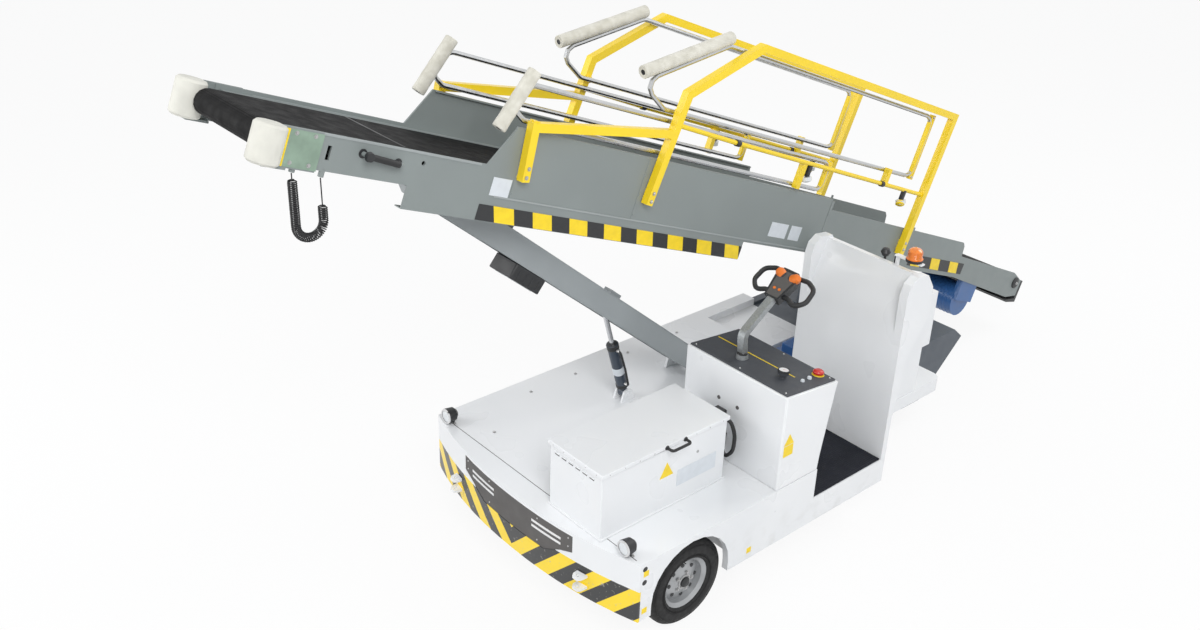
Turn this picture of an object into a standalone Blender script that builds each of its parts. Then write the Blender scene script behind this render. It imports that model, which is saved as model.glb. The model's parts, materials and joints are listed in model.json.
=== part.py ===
"""Electric stand-on baggage belt loader. Metres; X forward, Y to the loader's left, Z up, ground at Z = 0.

Places are written from the middle of the chassis's front edge, and the last lines move the whole loader
so that the origin is the bottom centre of its box. The conveyor is drawn in its own axes: s along the
belt from the rear pivot, y across, n up from the pivot, square to the belt.
"""

import math

import bpy
import bmesh
from mathutils import Matrix, Vector

GAP = 0.0003  # between pieces that touch

# ---------------------------------------------------------------- helpers


def mesh_object(name, verts, faces):
    mesh = bpy.data.meshes.new(name)
    mesh.from_pydata([tuple(v) for v in verts], [], faces)
    bm = bmesh.new()
    bm.from_mesh(mesh)
    bmesh.ops.recalc_face_normals(bm, faces=bm.faces)
    bm.to_mesh(mesh)
    bm.free()
    obj = bpy.data.objects.new(name, mesh)
    bpy.context.scene.collection.objects.link(obj)
    return obj


def prism(name, outline, axis, low, high):
    """A flat outline pushed along an axis. The outline is (x, z) for y, (x, y) for z, (y, z) for x."""
    put = {
        "x": lambda a, b, c: (c, a, b),
        "y": lambda a, b, c: (a, c, b),
        "z": lambda a, b, c: (a, b, c),
    }[axis]
    n = len(outline)
    verts = [put(a, b, low) for a, b in outline] + [put(a, b, high) for a, b in outline]
    faces = [tuple(range(n)), tuple(range(2 * n - 1, n - 1, -1))]
    faces += [(i, (i + 1) % n, n + (i + 1) % n, n + i) for i in range(n)]
    return mesh_object(name, verts, faces)


def box(name, x, y, z):
    (x0, x1), (y0, y1), (z0, z1) = (sorted(p) for p in (x, y, z))
    return prism(name, [(x0, y0), (x1, y0), (x1, y1), (x0, y1)], "z", z0, z1)


def basis(direction):
    d = Vector(direction).normalized()
    side = d.cross(Vector((0, 0, 1)) if abs(d.z) < 0.9 else Vector((1, 0, 0))).normalized()
    return d, side, d.cross(side)


def turned(name, profile, centre, direction, steps=32):
    """A closed (along, radius) profile turned about a line. A point on the line has radius 0."""
    d, side, up = basis(direction)
    verts, rings = [], []
    for a, r in profile:
        if r == 0:
            rings.append([len(verts)] * steps)
            verts.append(Vector(centre) + d * a)
            continue
        rings.append(list(range(len(verts), len(verts) + steps)))
        for k in range(steps):
            t = math.tau * k / steps
            verts.append(Vector(centre) + d * a + (side * math.cos(t) + up * math.sin(t)) * r)
    faces = []
    closed = profile[0][1] != 0
    last = len(profile) if closed else len(profile) - 1
    for i in range(last):
        p, q = rings[i], rings[(i + 1) % len(rings)]
        for k in range(steps):
            j = (k + 1) % steps
            face = []
            for v in (p[k], p[j], q[j], q[k]):
                if v not in face:
                    face.append(v)
            if len(face) > 2:
                faces.append(tuple(face))
    return mesh_object(name, verts, faces)


def rod(name, start, end, radius, steps=20):
    length = (Vector(end) - Vector(start)).length
    return turned(name, [(0, 0), (0, radius), (length, radius), (length, 0)], start, Vector(end) - Vector(start), steps)


def sleeve(name, start, end, outer, inner, steps=24):
    length = (Vector(end) - Vector(start)).length
    return turned(name, [(0, inner), (0, outer), (length, outer), (length, inner)], start, Vector(end) - Vector(start), steps)


def swept(name, points, section, closed=False, across=(0, 1, 0)):
    """A section (along the path's flat side, across it) swept with mitred corners along a flat path."""
    pts = [Vector(p) for p in points]
    b = Vector(across).normalized()
    n, m = len(pts), len(section)
    verts = []
    for i, p in enumerate(pts):
        back = (p - pts[i - 1]).normalized() if closed or i > 0 else None
        ahead = (pts[(i + 1) % n] - p).normalized() if closed or i < n - 1 else None
        back, ahead = back or ahead, ahead or back
        t = (back + ahead).normalized()
        w = b.cross(t).normalized() / max(0.3, t.dot(ahead))
        verts += [p + w * u + b * v for u, v in section]
    faces = []
    for i in range(n if closed else n - 1):
        j = (i + 1) % n
        faces += [(i * m + k, i * m + (k + 1) % m, j * m + (k + 1) % m, j * m + k) for k in range(m)]
    if not closed:
        faces += [tuple(range(m - 1, -1, -1)), tuple(range((n - 1) * m, n * m))]
    return mesh_object(name, verts, faces)


def ring_section(radius, steps=10):
    return [(radius * math.cos(math.tau * k / steps), radius * math.sin(math.tau * k / steps)) for k in range(steps)]


def square_section(half_u, half_v):
    return [(-half_u, -half_v), (half_u, -half_v), (half_u, half_v), (-half_u, half_v)]


def rounded(points, radius, steps=4, closed=False):
    """The corners of a flat path (any three axes) replaced by arcs."""
    pts = [Vector(p) for p in points]
    out = []
    n = len(pts)
    for i, p in enumerate(pts):
        if not closed and i in (0, n - 1):
            out.append(p)
            continue
        a, c = (pts[i - 1] - p), (pts[(i + 1) % n] - p)
        half = a.angle(c) / 2
        cut = min(radius / math.tan(half), 0.45 * a.length, 0.45 * c.length)
        r = cut * math.tan(half)
        centre = p + (a.normalized() + c.normalized()).normalized() * (r / math.sin(half))
        u, v = p + a.normalized() * cut - centre, p + c.normalized() * cut - centre
        turn = u.angle(v)
        for k in range(steps + 1):
            f = k / steps
            out.append(centre + (u * math.sin((1 - f) * turn) + v * math.sin(f * turn)) / math.sin(turn))
    return out


def combine(obj, others, operation):
    for other in others:
        mod = obj.modifiers.new(operation, "BOOLEAN")
        mod.operation, mod.solver, mod.object = operation, "EXACT", other
    graph = bpy.context.evaluated_depsgraph_get()
    mesh = bpy.data.meshes.new_from_object(obj.evaluated_get(graph))
    obj.modifiers.clear()
    obj.data = mesh
    for other in others:
        bpy.data.objects.remove(other)
    return obj


def join(obj, *others):
    return combine(obj, others, "UNION")


def cut(obj, *others):
    return combine(obj, others, "DIFFERENCE")


def place(matrix, *objs):
    for obj in objs:
        obj.data.transform(matrix)
    return objs


def renamed(obj, name):
    obj.name = obj.data.name = name
    return obj


for start_object in list(bpy.data.objects):
    bpy.data.objects.remove(start_object)

# ---------------------------------------------------------------- sizes: chassis

HALF_WIDTH = 1.0
DECK_Z = 0.697
SKIRT_Z = 0.283
BOW = 0.15  # how far the front is bowed
BOW_EDGE = 0.012
BOW_POWER = 2.2
BAY_REAR_X = -2.2
BAY_FRONT_X = -1.506
BAY_FLOOR_Z = 0.473
MAT = 0.010
INNER_Y = 0.153  # console's and bay's inner side
MAIN_REAR_X = -2.25
TAIL_X = -2.95
TAIL_Y = 0.40
TAIL_RIGHT_Y = -0.95
FENDER_X = -3.12
FENDER_Y = 0.80
FENDER_Z = 0.60
WELL_X = (-2.42, -3.22)
WELL_DEEP_Y = (-0.33, 0.02)
WELL_DEEP_Z = 0.44
WELL_SHALLOW_Y = (-0.88, -0.32)
WELL_SHALLOW_Z = 0.64  # over the right rear wheel

# wheels
TYRE_R = 0.294
TYRE_W = 0.165
RIM_R = 0.172
FRONT_X = -0.444
FRONT_Y = 0.865  # middle of the tyre
REAR_X = -2.60
REAR_Y = 0.46
ARCH_FRONT = 0.315
ARCH_REAR = 0.325
ARCH_X = -0.405
ARCH_TOP = 0.667
ARCH_SPRING_Z = 0.36
ARCH_SKIN = 0.045
ARCH_IN_Y = 0.555
ARCH_IN_X = (-0.86, -0.03)
ARCH_ROOF_Z = 0.66
KINGPIN_Y = 0.70
KNUCKLE_R = 0.028
FORK_Z = (0.253, 0.335)  # between the fork's plates
FORK_T = 0.018
STUB_R = 0.022
BRAKE_R = 0.085
REAR_WELL_HALF_X = 0.34
REAR_WELL_Y = (0.34, 0.58)
REAR_WELL_Z = 0.625
BEAM_HALF = 0.045

# battery box
BOX_X = (0.045, -0.965)
BOX_Y = (0.222, 0.686)
LID_Z = 1.156
LID_DROP = 0.030
LID_OVER = 0.011
BOX_WALL = 0.008

# console
CONSOLE_X = -1.119
CONSOLE_TOP_FRONT_Z = 1.366
CONSOLE_TOP_REAR = (-1.601, 1.314)
PANEL_T = 0.010

# backrest
WALL_T = 0.05
WALL_TOP_Z = 1.43
LEAN_TOP = (-2.36, 1.79)
EAR_T = 0.06

# ---------------------------------------------------------------- sizes: conveyor and lift

TILT = math.radians(21.5)
PIVOT = (-3.40, 0.95)  # x, z of the conveyor's rear pivot
CONV_Y = -0.40  # middle of the conveyor
HALF_CONV = 0.40  # to the outer face of the side plates
PLATE = 0.012
BELT_HALF = 0.300
END_PLATE = 0.009  # carries the front roller, between the belt and the bumper
PANEL_LOW_N = 0.228
FRONT_TOP_N = 0.408
PANEL_TOP_N = 0.63
REAR_TOP_N = 0.535
FRONT_S = 5.30
SLANT_S = (4.15, 4.02)
STEP_S = (1.06, 1.03)
PANEL_REAR_S = -0.95
TAIL_S = -1.98
TAIL_END = 0.17  # how far the side plates go on behind it
GUARD_GAP = TAIL_END + GAP
CHANNEL_S = (4.61, 1.87)
CHANNEL_N = (0.105, 0.228)
CHANNEL_T = 0.006
FLANGE = 0.055
BELT_TOP_N = 0.392
BELT_T = 0.006
ROLLER_R = 0.060
FRONT_ROLLER_S = 5.375
REAR_ROLLER_S = -2.05
REAR_DROP = 0.055  # how much lower the tail of the belt runs

ARM_FOOT = (-1.72, 0.80)
ARM_TOP = (4.27, 0.1665)  # s, n of the roller in the conveyor's channel
ARM_HALF = 0.11
ARM_DEPTH = 0.15
ARM_WALL = 0.009
TRACK_ROLLER_R = 0.044
CYL_FOOT = (-1.11, 0.745)
CYL_EYE = (-0.895, 1.455)
BARREL_R = 0.040
BARREL_L = 0.44
ROD_R = 0.017
PIN_GAP = 0.006
PIN_R = 0.014

# handrails: y is out from the conveyor's middle
RAIL_Y = 0.430
RAIL = 0.025  # half of the square tube
SLIDE_Y = 0.375
TUBE_R = 0.015
PAD_R = 0.038
STRUT_HALF = 0.012
UPPER_N = (0.918, 1.375)  # the sliding rails' lower and upper tubes
LOWER_N = (0.668, 0.860)

# ---------------------------------------------------------------- chassis

side = HALF_WIDTH
plan = [
    (0, -side),
    (MAIN_REAR_X, -side),
    (TAIL_X, -side),
    (TAIL_X, TAIL_Y),
    (MAIN_REAR_X, TAIL_Y),
    (MAIN_REAR_X, side),
    (0, side),
]
body = prism("chassis_body", plan, "z", SKIRT_Z, DECK_Z)


def arch(name, y0, y1):
    outline = [(ARCH_X + ARCH_FRONT, 0.1)]
    for k in range(13):
        t = math.pi * k / 12
        half = ARCH_FRONT if t < math.pi / 2 else ARCH_REAR
        outline.append((ARCH_X + half * math.cos(t), ARCH_SPRING_Z + (ARCH_TOP - ARCH_SPRING_Z) * math.sin(t)))
    outline.append((ARCH_X - ARCH_REAR, 0.1))
    return prism(name, outline, "y", y0, y1)


def well_cuts():
    """The hydraulic well: deep beside the right rear wheel and shallow over it."""
    return [
        box("well_deep", WELL_X, WELL_DEEP_Y, (WELL_DEEP_Z, DECK_Z + 0.4)),
        box("well_shallow", WELL_X, WELL_SHALLOW_Y, (WELL_SHALLOW_Z, DECK_Z + 0.4)),
    ]


AXLE_ROOM_Z = 0.36
rooms = []
for s in (-1, 1):
    rooms.append(box(f"front_room{s}", ARCH_IN_X, (s * ARCH_IN_Y, s * (side - ARCH_SKIN)), (0.1, ARCH_ROOF_Z)))
    rooms.append(arch(f"arch{s}", *sorted((s * (side - ARCH_SKIN - 0.02), s * (side + 0.1)))))
    rooms.append(
        box(f"rear_room{s}", (REAR_X - REAR_WELL_HALF_X, REAR_X + REAR_WELL_HALF_X), (s * REAR_WELL_Y[0], s * REAR_WELL_Y[1]), (0.1, REAR_WELL_Z))
    )
cut(
    body,
    *rooms,
    box("front_axle_room", (FRONT_X - 0.075, FRONT_X + 0.075), (-ARCH_IN_Y - 0.02, ARCH_IN_Y + 0.02), (0.1, 0.40)),
    box("rear_axle_room", (REAR_X - 0.06, REAR_X + 0.06), (-REAR_WELL_Y[0] - 0.02, REAR_WELL_Y[0] + 0.02), (0.1, AXLE_ROOM_Z)),
    box("motor_room", (REAR_X, REAR_X + 0.345), (-0.16, 0.16), (0.1, 0.42)),
    # stand-on bay, open to the left, and the backrest's place behind it
    box("bay", (BAY_FRONT_X, BAY_REAR_X - WALL_T - GAP), (INNER_Y, side + 0.1), (BAY_FLOOR_Z, DECK_Z + 0.1)),
    *well_cuts(),
)
# fender behind the bay
fender_plan = rounded(
    [(MAIN_REAR_X - 2 * GAP, TAIL_Y - 0.01, 0), (FENDER_X, TAIL_Y - 0.01, 0), (FENDER_X, FENDER_Y, 0), (MAIN_REAR_X - 2 * GAP, FENDER_Y, 0)],
    0.07,
    4,
    False,
)
fender = prism("fender", [(p.x, p.y) for p in fender_plan], "z", FENDER_Z, DECK_Z)
# cheeks for the lift arm's foot and the cylinder's foot, welded on the deck
cheeks = []
for k, s in enumerate((-1, 1)):
    y0 = CONV_Y + s * (ARM_HALF + PIN_GAP)
    fx, fz = ARM_FOOT
    cheeks.append(
        prism(
            f"arm_cheek{k}",
            [(fx - 0.10, DECK_Z - 0.02), (fx + 0.10, DECK_Z - 0.02), (fx + 0.06, fz + 0.03), (fx + 0.03, fz + 0.06), (fx - 0.03, fz + 0.06), (fx - 0.06, fz + 0.03)],
            "y",
            min(y0, y0 + s * 0.02),
            max(y0, y0 + s * 0.02),
        )
    )
    y0 = CONV_Y + s * (0.024 + PIN_GAP)
    fx, fz = CYL_FOOT
    cheeks.append(
        prism(
            f"cylinder_cheek{k}",
            [(fx - 0.07, DECK_Z - 0.04), (fx + 0.07, DECK_Z - 0.04), (fx + 0.035, fz + 0.025), (fx + 0.015, fz + 0.036), (fx - 0.015, fz + 0.036), (fx - 0.035, fz + 0.025)],
            "y",
            min(y0, y0 + s * 0.016),
            max(y0, y0 + s * 0.016),
        )
    )
join(
    body,
    fender,
    *cheeks,
    rod("arm_pin", (ARM_FOOT[0], CONV_Y - ARM_HALF - 0.04, ARM_FOOT[1]), (ARM_FOOT[0], CONV_Y + ARM_HALF + 0.04, ARM_FOOT[1]), PIN_R),
    rod("cylinder_pin", (CYL_FOOT[0], CONV_Y - 0.052, CYL_FOOT[1]), (CYL_FOOT[0], CONV_Y + 0.052, CYL_FOOT[1]), PIN_R),
)

# bowed front with the tow lugs
def bow_x(y):
    return BOW_EDGE + BOW * (1 - (abs(y) / side) ** BOW_POWER)


BOW_STEPS = 14
bow_line = [-side + 2 * side * k / BOW_STEPS for k in range(BOW_STEPS + 1)]
front = prism("front_bumper", [(GAP, -side)] + [(bow_x(y), y) for y in bow_line] + [(GAP, side)], "z", SKIRT_Z, DECK_Z)


GRILLE_Y = 0.535
GRILLE_TOP = 0.672
GRILLE_LOW = 0.525
GRILLE_LOW_MID = 0.455
GRILLE_T = 0.012
grille_outline = [(-GRILLE_Y, GRILLE_TOP), (-GRILLE_Y, 0.56), (-0.44, GRILLE_LOW), (-0.30, GRILLE_LOW_MID), (0.30, GRILLE_LOW_MID), (0.44, GRILLE_LOW), (GRILLE_Y, 0.555), (GRILLE_Y, GRILLE_TOP)]


def bowed_slab(name, back, ahead, y_half, z0, z1):
    """A slab that follows the bow, from back to ahead of the front's face."""
    pts = []
    n = 12
    for k in range(n + 1):
        y = -y_half + 2 * y_half * k / n
        pts.append((bow_x(y) + ahead, y))
    for k in range(n, -1, -1):
        y = -y_half + 2 * y_half * k / n
        pts.append((bow_x(y) + back, y))
    return prism(name, pts, "z", z0, z1)


def intersected(obj, other):
    return combine(obj, [other], "INTERSECT")


def grow_outline(points, gap):
    ym = 0.0
    zm = (GRILLE_TOP + GRILLE_LOW_MID) / 2
    return [(y + gap * (1 if y > ym else -1), z + gap * (1 if z > zm else -1)) for y, z in points]


recess = intersected(
    bowed_slab("grille_recess", -GRILLE_T - GAP, 0.05, GRILLE_Y + 0.02, 0.3, 0.69),
    prism("grille_recess_outline", grow_outline(grille_outline, GAP), "x", -0.1, 0.4),
)
cut(front, recess)
grille = intersected(
    bowed_slab("grille", -GRILLE_T, -0.003, GRILLE_Y + 0.01, 0.3, 0.69),
    prism("grille_outline", grille_outline, "x", -0.1, 0.4),
)
renamed(grille, "grille")
lugs = []
for s in (-1, 1):
    for z in (0.36, 0.44):
        x0 = bow_x(0.62)
        lug = prism(f"lug{s}{z}", [(x0 - 0.02, s * 0.62 - 0.04), (x0 + 0.045, s * 0.62 - 0.035), (x0 + 0.065, s * 0.62 - 0.018), (x0 + 0.065, s * 0.62 + 0.018), (x0 + 0.045, s * 0.62 + 0.035), (x0 - 0.02, s * 0.62 + 0.04)], "z", z, z + 0.016)
        lugs.append(cut(lug, rod("lug_hole", (x0 + 0.038, s * 0.62, z - 0.02), (x0 + 0.038, s * 0.62, z + 0.04), 0.012, 16)))
join(front, *lugs)

# headlights on the deck's front corners
for word, s in (("left", 1), ("right", -1)):
    hx, hy, hz = 0.005, s * 0.875, DECK_Z + 0.058
    lamp = turned(
        f"headlight_{word}",
        [(-0.05, 0), (-0.05, 0.025), (-0.03, 0.045), (0.02, 0.052), (0.026, 0.052), (0.030, 0.044), (0.033, 0)],
        (hx, hy, hz),
        (1, 0, 0),
        24,
    )
    join(lamp, box("lamp_foot", (hx - 0.03, hx + 0.0), (hy - 0.012, hy + 0.012), (DECK_Z + GAP, hz)))

# battery box with its lid and the battery in it
box_low = DECK_Z + GAP
battery_box = box("battery_box", BOX_X, BOX_Y, (box_low, LID_Z - LID_DROP))
cut(battery_box, box("box_in", (BOX_X[0] - BOX_WALL, BOX_X[1] + BOX_WALL), (BOX_Y[0] + BOX_WALL, BOX_Y[1] - BOX_WALL), (box_low + BOX_WALL, LID_Z)))
box("battery_pack", (BOX_X[0] - 0.04, BOX_X[1] + 0.04), (BOX_Y[0] + 0.03, BOX_Y[1] - 0.03), (box_low + BOX_WALL + GAP, box_low + BOX_WALL + 0.32))
lid = box("battery_lid", (BOX_X[0] + LID_OVER, BOX_X[1] - LID_OVER), (BOX_Y[0] - LID_OVER, BOX_Y[1] + LID_OVER), (LID_Z - LID_DROP + GAP, LID_Z))
HANDLE_X = -0.52
handle = swept(
    "lid_handle",
    rounded([(HANDLE_X - 0.075, BOX_Y[1] + 0.0, LID_Z - 0.014), (HANDLE_X - 0.075, BOX_Y[1] + 0.06, LID_Z - 0.014), (HANDLE_X + 0.075, BOX_Y[1] + 0.06, LID_Z - 0.014), (HANDLE_X + 0.075, BOX_Y[1] + 0.0, LID_Z - 0.014)], 0.02, 3),
    ring_section(0.007, 8),
    across=(0, 0, 1),
)
join(lid, handle)

# battery plug and its looped cable, between the box and the console
PLUG_Z = (1.015, 1.105)
box("battery_plug", (BOX_X[1] - 0.105, BOX_X[1] - GAP), (0.505, 0.585), PLUG_Z)

# console: leaning rear edge, open foot space under nothing; its panel slopes to the rear
cx = CONSOLE_X
tx, tz = CONSOLE_TOP_REAR
console = prism(
    "console",
    [(cx, DECK_Z + GAP), (cx, CONSOLE_TOP_FRONT_Z), (tx, tz), (tx + 0.012, tz - 0.06), (BAY_FRONT_X - 0.012, DECK_Z + 0.12), (BAY_FRONT_X, DECK_Z + GAP)],
    "y",
    INNER_Y,
    HALF_WIDTH,
)
slope = math.atan2(CONSOLE_TOP_FRONT_Z - tz, cx - tx)


def on_top(x, up=0.0):
    return (x - up * math.sin(slope), CONSOLE_TOP_FRONT_Z - (cx - x) * math.tan(slope) + up * math.cos(slope))


panel = prism("console_panel", [on_top(cx - 0.016, GAP), on_top(tx + 0.016, GAP), on_top(tx + 0.016, PANEL_T), on_top(cx - 0.016, PANEL_T)], "y", INNER_Y + 0.016, HALF_WIDTH - 0.016)


def on_panel(x, y, up):
    px, pz = on_top(x, up)
    return Vector((px, y, pz))


up_dir = (-math.sin(slope), 0, math.cos(slope))
TILLER = (-1.27, 0.49)
gauge = turned("gauge", [(0, 0), (0, 0.020), (0.026, 0.020), (0.026, 0.034), (0.048, 0.036), (0.055, 0.030), (0.055, 0)], on_panel(-1.30, 0.80, PANEL_T / 2), up_dir, 20)
estop = turned("estop", [(0, 0), (0, 0.016), (0.018, 0.016), (0.020, 0.024), (0.032, 0.022), (0.036, 0.010), (0.036, 0)], on_panel(-1.535, 0.885, PANEL_T / 2), up_dir, 16)
keys = [turned(f"key{i}", [(0, 0), (0, r), (0.016, r), (0.016, 0)], on_panel(x, y, PANEL_T / 2), up_dir, 12) for i, (x, y, r) in enumerate(((-1.44, 0.895, 0.012), (-1.37, 0.90, 0.010)))]
join(panel, gauge, estop, *keys)

# tiller: a bent arm on the console, with the looped steering bow
ux, uy = TILLER
FOOT_R = 0.040
foot_top = on_top(ux + FOOT_R, PANEL_T + GAP)[1]  # the panel rises to the front
tiller = turned("tiller_arm", [(0, 0), (0, FOOT_R), (0.030, 0.036), (0.030, 0)], (ux, uy, foot_top), (0, 0, 1), 20)
spine = rounded([(ux, uy, foot_top + 0.02), (ux + 0.015, uy, foot_top + 0.17), (ux - 0.29, uy, foot_top + 0.385)], 0.06, 4)
join(tiller, swept("tiller_spine", spine, square_section(0.020, 0.026)))
HEAD = Vector((ux - 0.335, uy, foot_top + 0.405))
tilt_head = math.radians(35)
hd = Vector((-math.cos(tilt_head), 0, math.sin(tilt_head)))
hn = Vector((math.sin(tilt_head), 0, math.cos(tilt_head)))


def head_point(along, across, up=0.0):
    return HEAD + hd * along + Vector((0, 1, 0)) * across + hn * up


bow_path = rounded([head_point(a, b) for a, b in ((-0.075, 0.09), (-0.11, 0.155), (-0.05, 0.215), (0.05, 0.205), (0.085, 0.13), (0.07, 0.0), (0.085, -0.13), (0.05, -0.205), (-0.05, -0.215), (-0.11, -0.155), (-0.075, -0.09), (-0.085, 0.0))], 0.05, 3, True)
head = swept("tiller_head", bow_path, ring_section(0.016, 8), True, across=hn)
core = mesh_object(
    "head_core",
    [head_point(a, b * w, c) for c, w in ((-0.035, 0.8), (0.035, 1.0)) for a, b in ((-0.125, -0.055), (0.03, -0.085), (0.095, -0.06), (0.095, 0.06), (0.03, 0.085), (-0.125, 0.055))],
    [(5, 4, 3, 2, 1, 0), (6, 7, 8, 9, 10, 11)] + [(i, (i + 1) % 6, 6 + (i + 1) % 6, 6 + i) for i in range(6)],
)
horns = [turned(f"horn{s}", [(0, 0), (0, 0.032), (0.05, 0.030), (0.065, 0.018), (0.065, 0)], head_point(0.045, s * 0.03, 0.012), Vector((0, s * 0.9, 0)) + hn * 0.5 + hd * 0.25, 12) for s in (-1, 1)]
join(head, core, *horns)
cut(head, swept("head_socket", [spine[-2], spine[-1] + (spine[-1] - spine[-2]).normalized() * GAP], square_section(0.020 + GAP, 0.026 + GAP)))

# mat
box("operator_mat", (BAY_FRONT_X - 0.004, BAY_REAR_X + 0.004), (INNER_Y + 0.004, HALF_WIDTH - 0.006), (BAY_FLOOR_Z + GAP, BAY_FLOOR_Z + MAT))

# backrest: lower wall, leaning upper part, an ear at each end
bx = BAY_REAR_X
wall = prism(
    "backrest",
    [
        (bx, BAY_FLOOR_Z + GAP),
        (bx, WALL_TOP_Z),
        LEAN_TOP,
        (LEAN_TOP[0] - WALL_T, LEAN_TOP[1] - 0.01),
        (bx - WALL_T, WALL_TOP_Z - 0.02),
        (bx - WALL_T + GAP, BAY_FLOOR_Z + GAP),
    ],
    "y",
    INNER_Y,
    HALF_WIDTH,
)
ears = [
    prism(
        f"ear{s}",
        [(bx, BAY_FLOOR_Z + 0.3), (bx, 1.70), (bx - 0.025, 1.775), (bx - 0.09, 1.815), (bx - 0.20, 1.80), (bx - 0.27, 1.70), (bx - 0.285, 1.50), (bx - 0.10, 1.20), (bx - WALL_T + GAP, BAY_FLOOR_Z + 0.3)],
        "y",
        min(e, e + s * EAR_T),
        max(e, e + s * EAR_T),
    )
    for s, e in ((1, INNER_Y), (-1, HALF_WIDTH))
]
join(wall, *ears)

# beacon and lever behind the backrest, the cabinet that carries them
cabinet = box("rear_cabinet", (MAIN_REAR_X - 0.05, MAIN_REAR_X - 0.55), (TAIL_Y - 0.05, FENDER_Y - 0.005), (DECK_Z + GAP, 1.36))
join(cabinet, box("cabinet_top", (MAIN_REAR_X - 0.52, MAIN_REAR_X - 0.74), (TAIL_Y + 0.03, FENDER_Y - 0.07), (0.98, 1.40)))
BEACON = (-2.42, 0.90)
join(cabinet, swept("beacon_post", [(BEACON[0] - 0.02, 0.72, 1.30), (BEACON[0] - 0.02, 0.72, 1.83)], square_section(0.014, 0.014)), box("beacon_arm", (BEACON[0] - 0.04, BEACON[0] + 0.0), (0.71, BEACON[1] + 0.02), (1.822, 1.832)))
beacon = turned("beacon", [(0, 0), (0, 0.055), (0.02, 0.055), (0.022, 0.048), (0.075, 0.044), (0.088, 0.030), (0.092, 0)], (BEACON[0] - 0.02, BEACON[1] - 0.05, 1.832 + GAP), (0, 0, 1), 24)
lever = rod("lever", (-2.45, 0.62, 1.36 + GAP), (-2.45, 0.62, 1.80), 0.009, 12)
join(lever, turned("lever_knob", [(-0.032, 0), (-0.024, 0.022), (0, 0.034), (0.024, 0.022), (0.032, 0)], (-2.45, 0.62, 1.81), (0, 0, 1), 16))

# rear frame with the conveyor's pivot stands
tail_side = [(TAIL_X - GAP, 0.22), (-3.30, 0.15), (-3.53, 0.15), (-3.98, 0.57), (-3.87, 0.662), (TAIL_X - GAP, 0.662)]
rear_frame = prism("rear_frame", tail_side, "y", TAIL_RIGHT_Y, TAIL_Y)
cut(rear_frame, *well_cuts())
cut(rear_frame, box("fender_room", (TAIL_X + 0.1, FENDER_X - 0.01), (TAIL_Y - 0.02, 1.0), (FENDER_Z - 0.01, 1.0)))
STAND_T = 0.022
STAND_Y = HALF_CONV - 0.10
px, pz = PIVOT
stands = []
for s in (-1, 1):
    y0 = CONV_Y + s * STAND_Y
    stands.append(
        prism(
            f"stand{s}",
            [(px - 0.16, 0.60), (px + 0.14, 0.60), (px + 0.05, pz + 0.03), (px + 0.02, pz + 0.055), (px - 0.02, pz + 0.055), (px - 0.05, pz + 0.03)],
            "y",
            y0 - STAND_T / 2,
            y0 + STAND_T / 2,
        )
    )
    stands.append(rod(f"stand_pin{s}", (px, y0 - s * 0.02, pz), (px, y0 + s * 0.055, pz), 0.020))
join(rear_frame, *stands)

# hydraulic unit in the well
hydraulic = box("hydraulic_unit", (-2.50, -2.86), (-0.29, -0.03), (WELL_DEEP_Z + GAP, WELL_DEEP_Z + 0.20))
join(hydraulic, box("valve_block", (-2.56, -2.80), (-0.24, -0.08), (WELL_DEEP_Z + 0.18, WELL_DEEP_Z + 0.27)))

# ---------------------------------------------------------------- axles and wheels

axle = box("front_axle", (FRONT_X - 0.035, FRONT_X + 0.035), (-KINGPIN_Y + 0.065, KINGPIN_Y - 0.065), (0.245, 0.315))
axle_fork = []
fork_low, fork_top = FORK_Z
for s in (-1, 1):
    for z0 in (fork_low - FORK_T, fork_top):
        axle_fork.append(box(f"fork{s}{z0}", (FRONT_X - 0.034, FRONT_X + 0.034), (s * (KINGPIN_Y - 0.075), s * (KINGPIN_Y + 0.030)), (z0, z0 + FORK_T)))
    axle_fork.append(box(f"fork_web{s}", (FRONT_X - 0.033, FRONT_X + 0.033), (s * (KINGPIN_Y - 0.085), s * (KINGPIN_Y - 0.06)), (fork_low - FORK_T / 2, fork_top + FORK_T / 2)))
    # saddle up to the body
    axle_fork.append(box(f"saddle{s}", (FRONT_X - 0.030, FRONT_X + 0.030), (s * 0.40, s * 0.46), (0.30, 0.40 - GAP)))
join(axle, *axle_fork)
for word, s in (("left", 1), ("right", -1)):
    low, high = fork_low + GAP - TYRE_R, fork_top - GAP - TYRE_R
    knuckle = turned(f"knuckle_{word}", [(low, 0), (low, KNUCKLE_R), (high, KNUCKLE_R), (high, 0)], (FRONT_X, s * KINGPIN_Y, TYRE_R), (0, 0, 1), 16)
    join(
        knuckle,
        rod("stub", (FRONT_X, s * KINGPIN_Y, TYRE_R), (FRONT_X, s * (FRONT_Y + 0.028), TYRE_R), STUB_R, 16),
        turned("brake", [(0, 0), (0, BRAKE_R), (0.045, BRAKE_R), (0.045, 0)], (FRONT_X, s * (FRONT_Y - 0.072), TYRE_R), (0, s, 0), 20),
    )
rear_axle = rod("rear_axle", (REAR_X, -REAR_Y - 0.028, TYRE_R), (REAR_X, REAR_Y + 0.028, TYRE_R), STUB_R, 16)
join(
    rear_axle,
    box("rear_beam", (REAR_X - BEAM_HALF, REAR_X + BEAM_HALF), (-REAR_Y + 0.12, REAR_Y - 0.12), (TYRE_R - BEAM_HALF, TYRE_R + BEAM_HALF)),
    *[turned(f"rear_brake{s}", [(0, 0), (0, BRAKE_R), (0.045, BRAKE_R), (0.045, 0)], (REAR_X, s * (REAR_Y - 0.072), TYRE_R), (0, s, 0), 20) for s in (-1, 1)],
    *[box(f"spring_pad{s}", (REAR_X - 0.040, REAR_X + 0.040), (s * 0.22 - 0.03, s * 0.22 + 0.03), (TYRE_R, AXLE_ROOM_Z - GAP)) for s in (-1, 1)],
)
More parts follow.
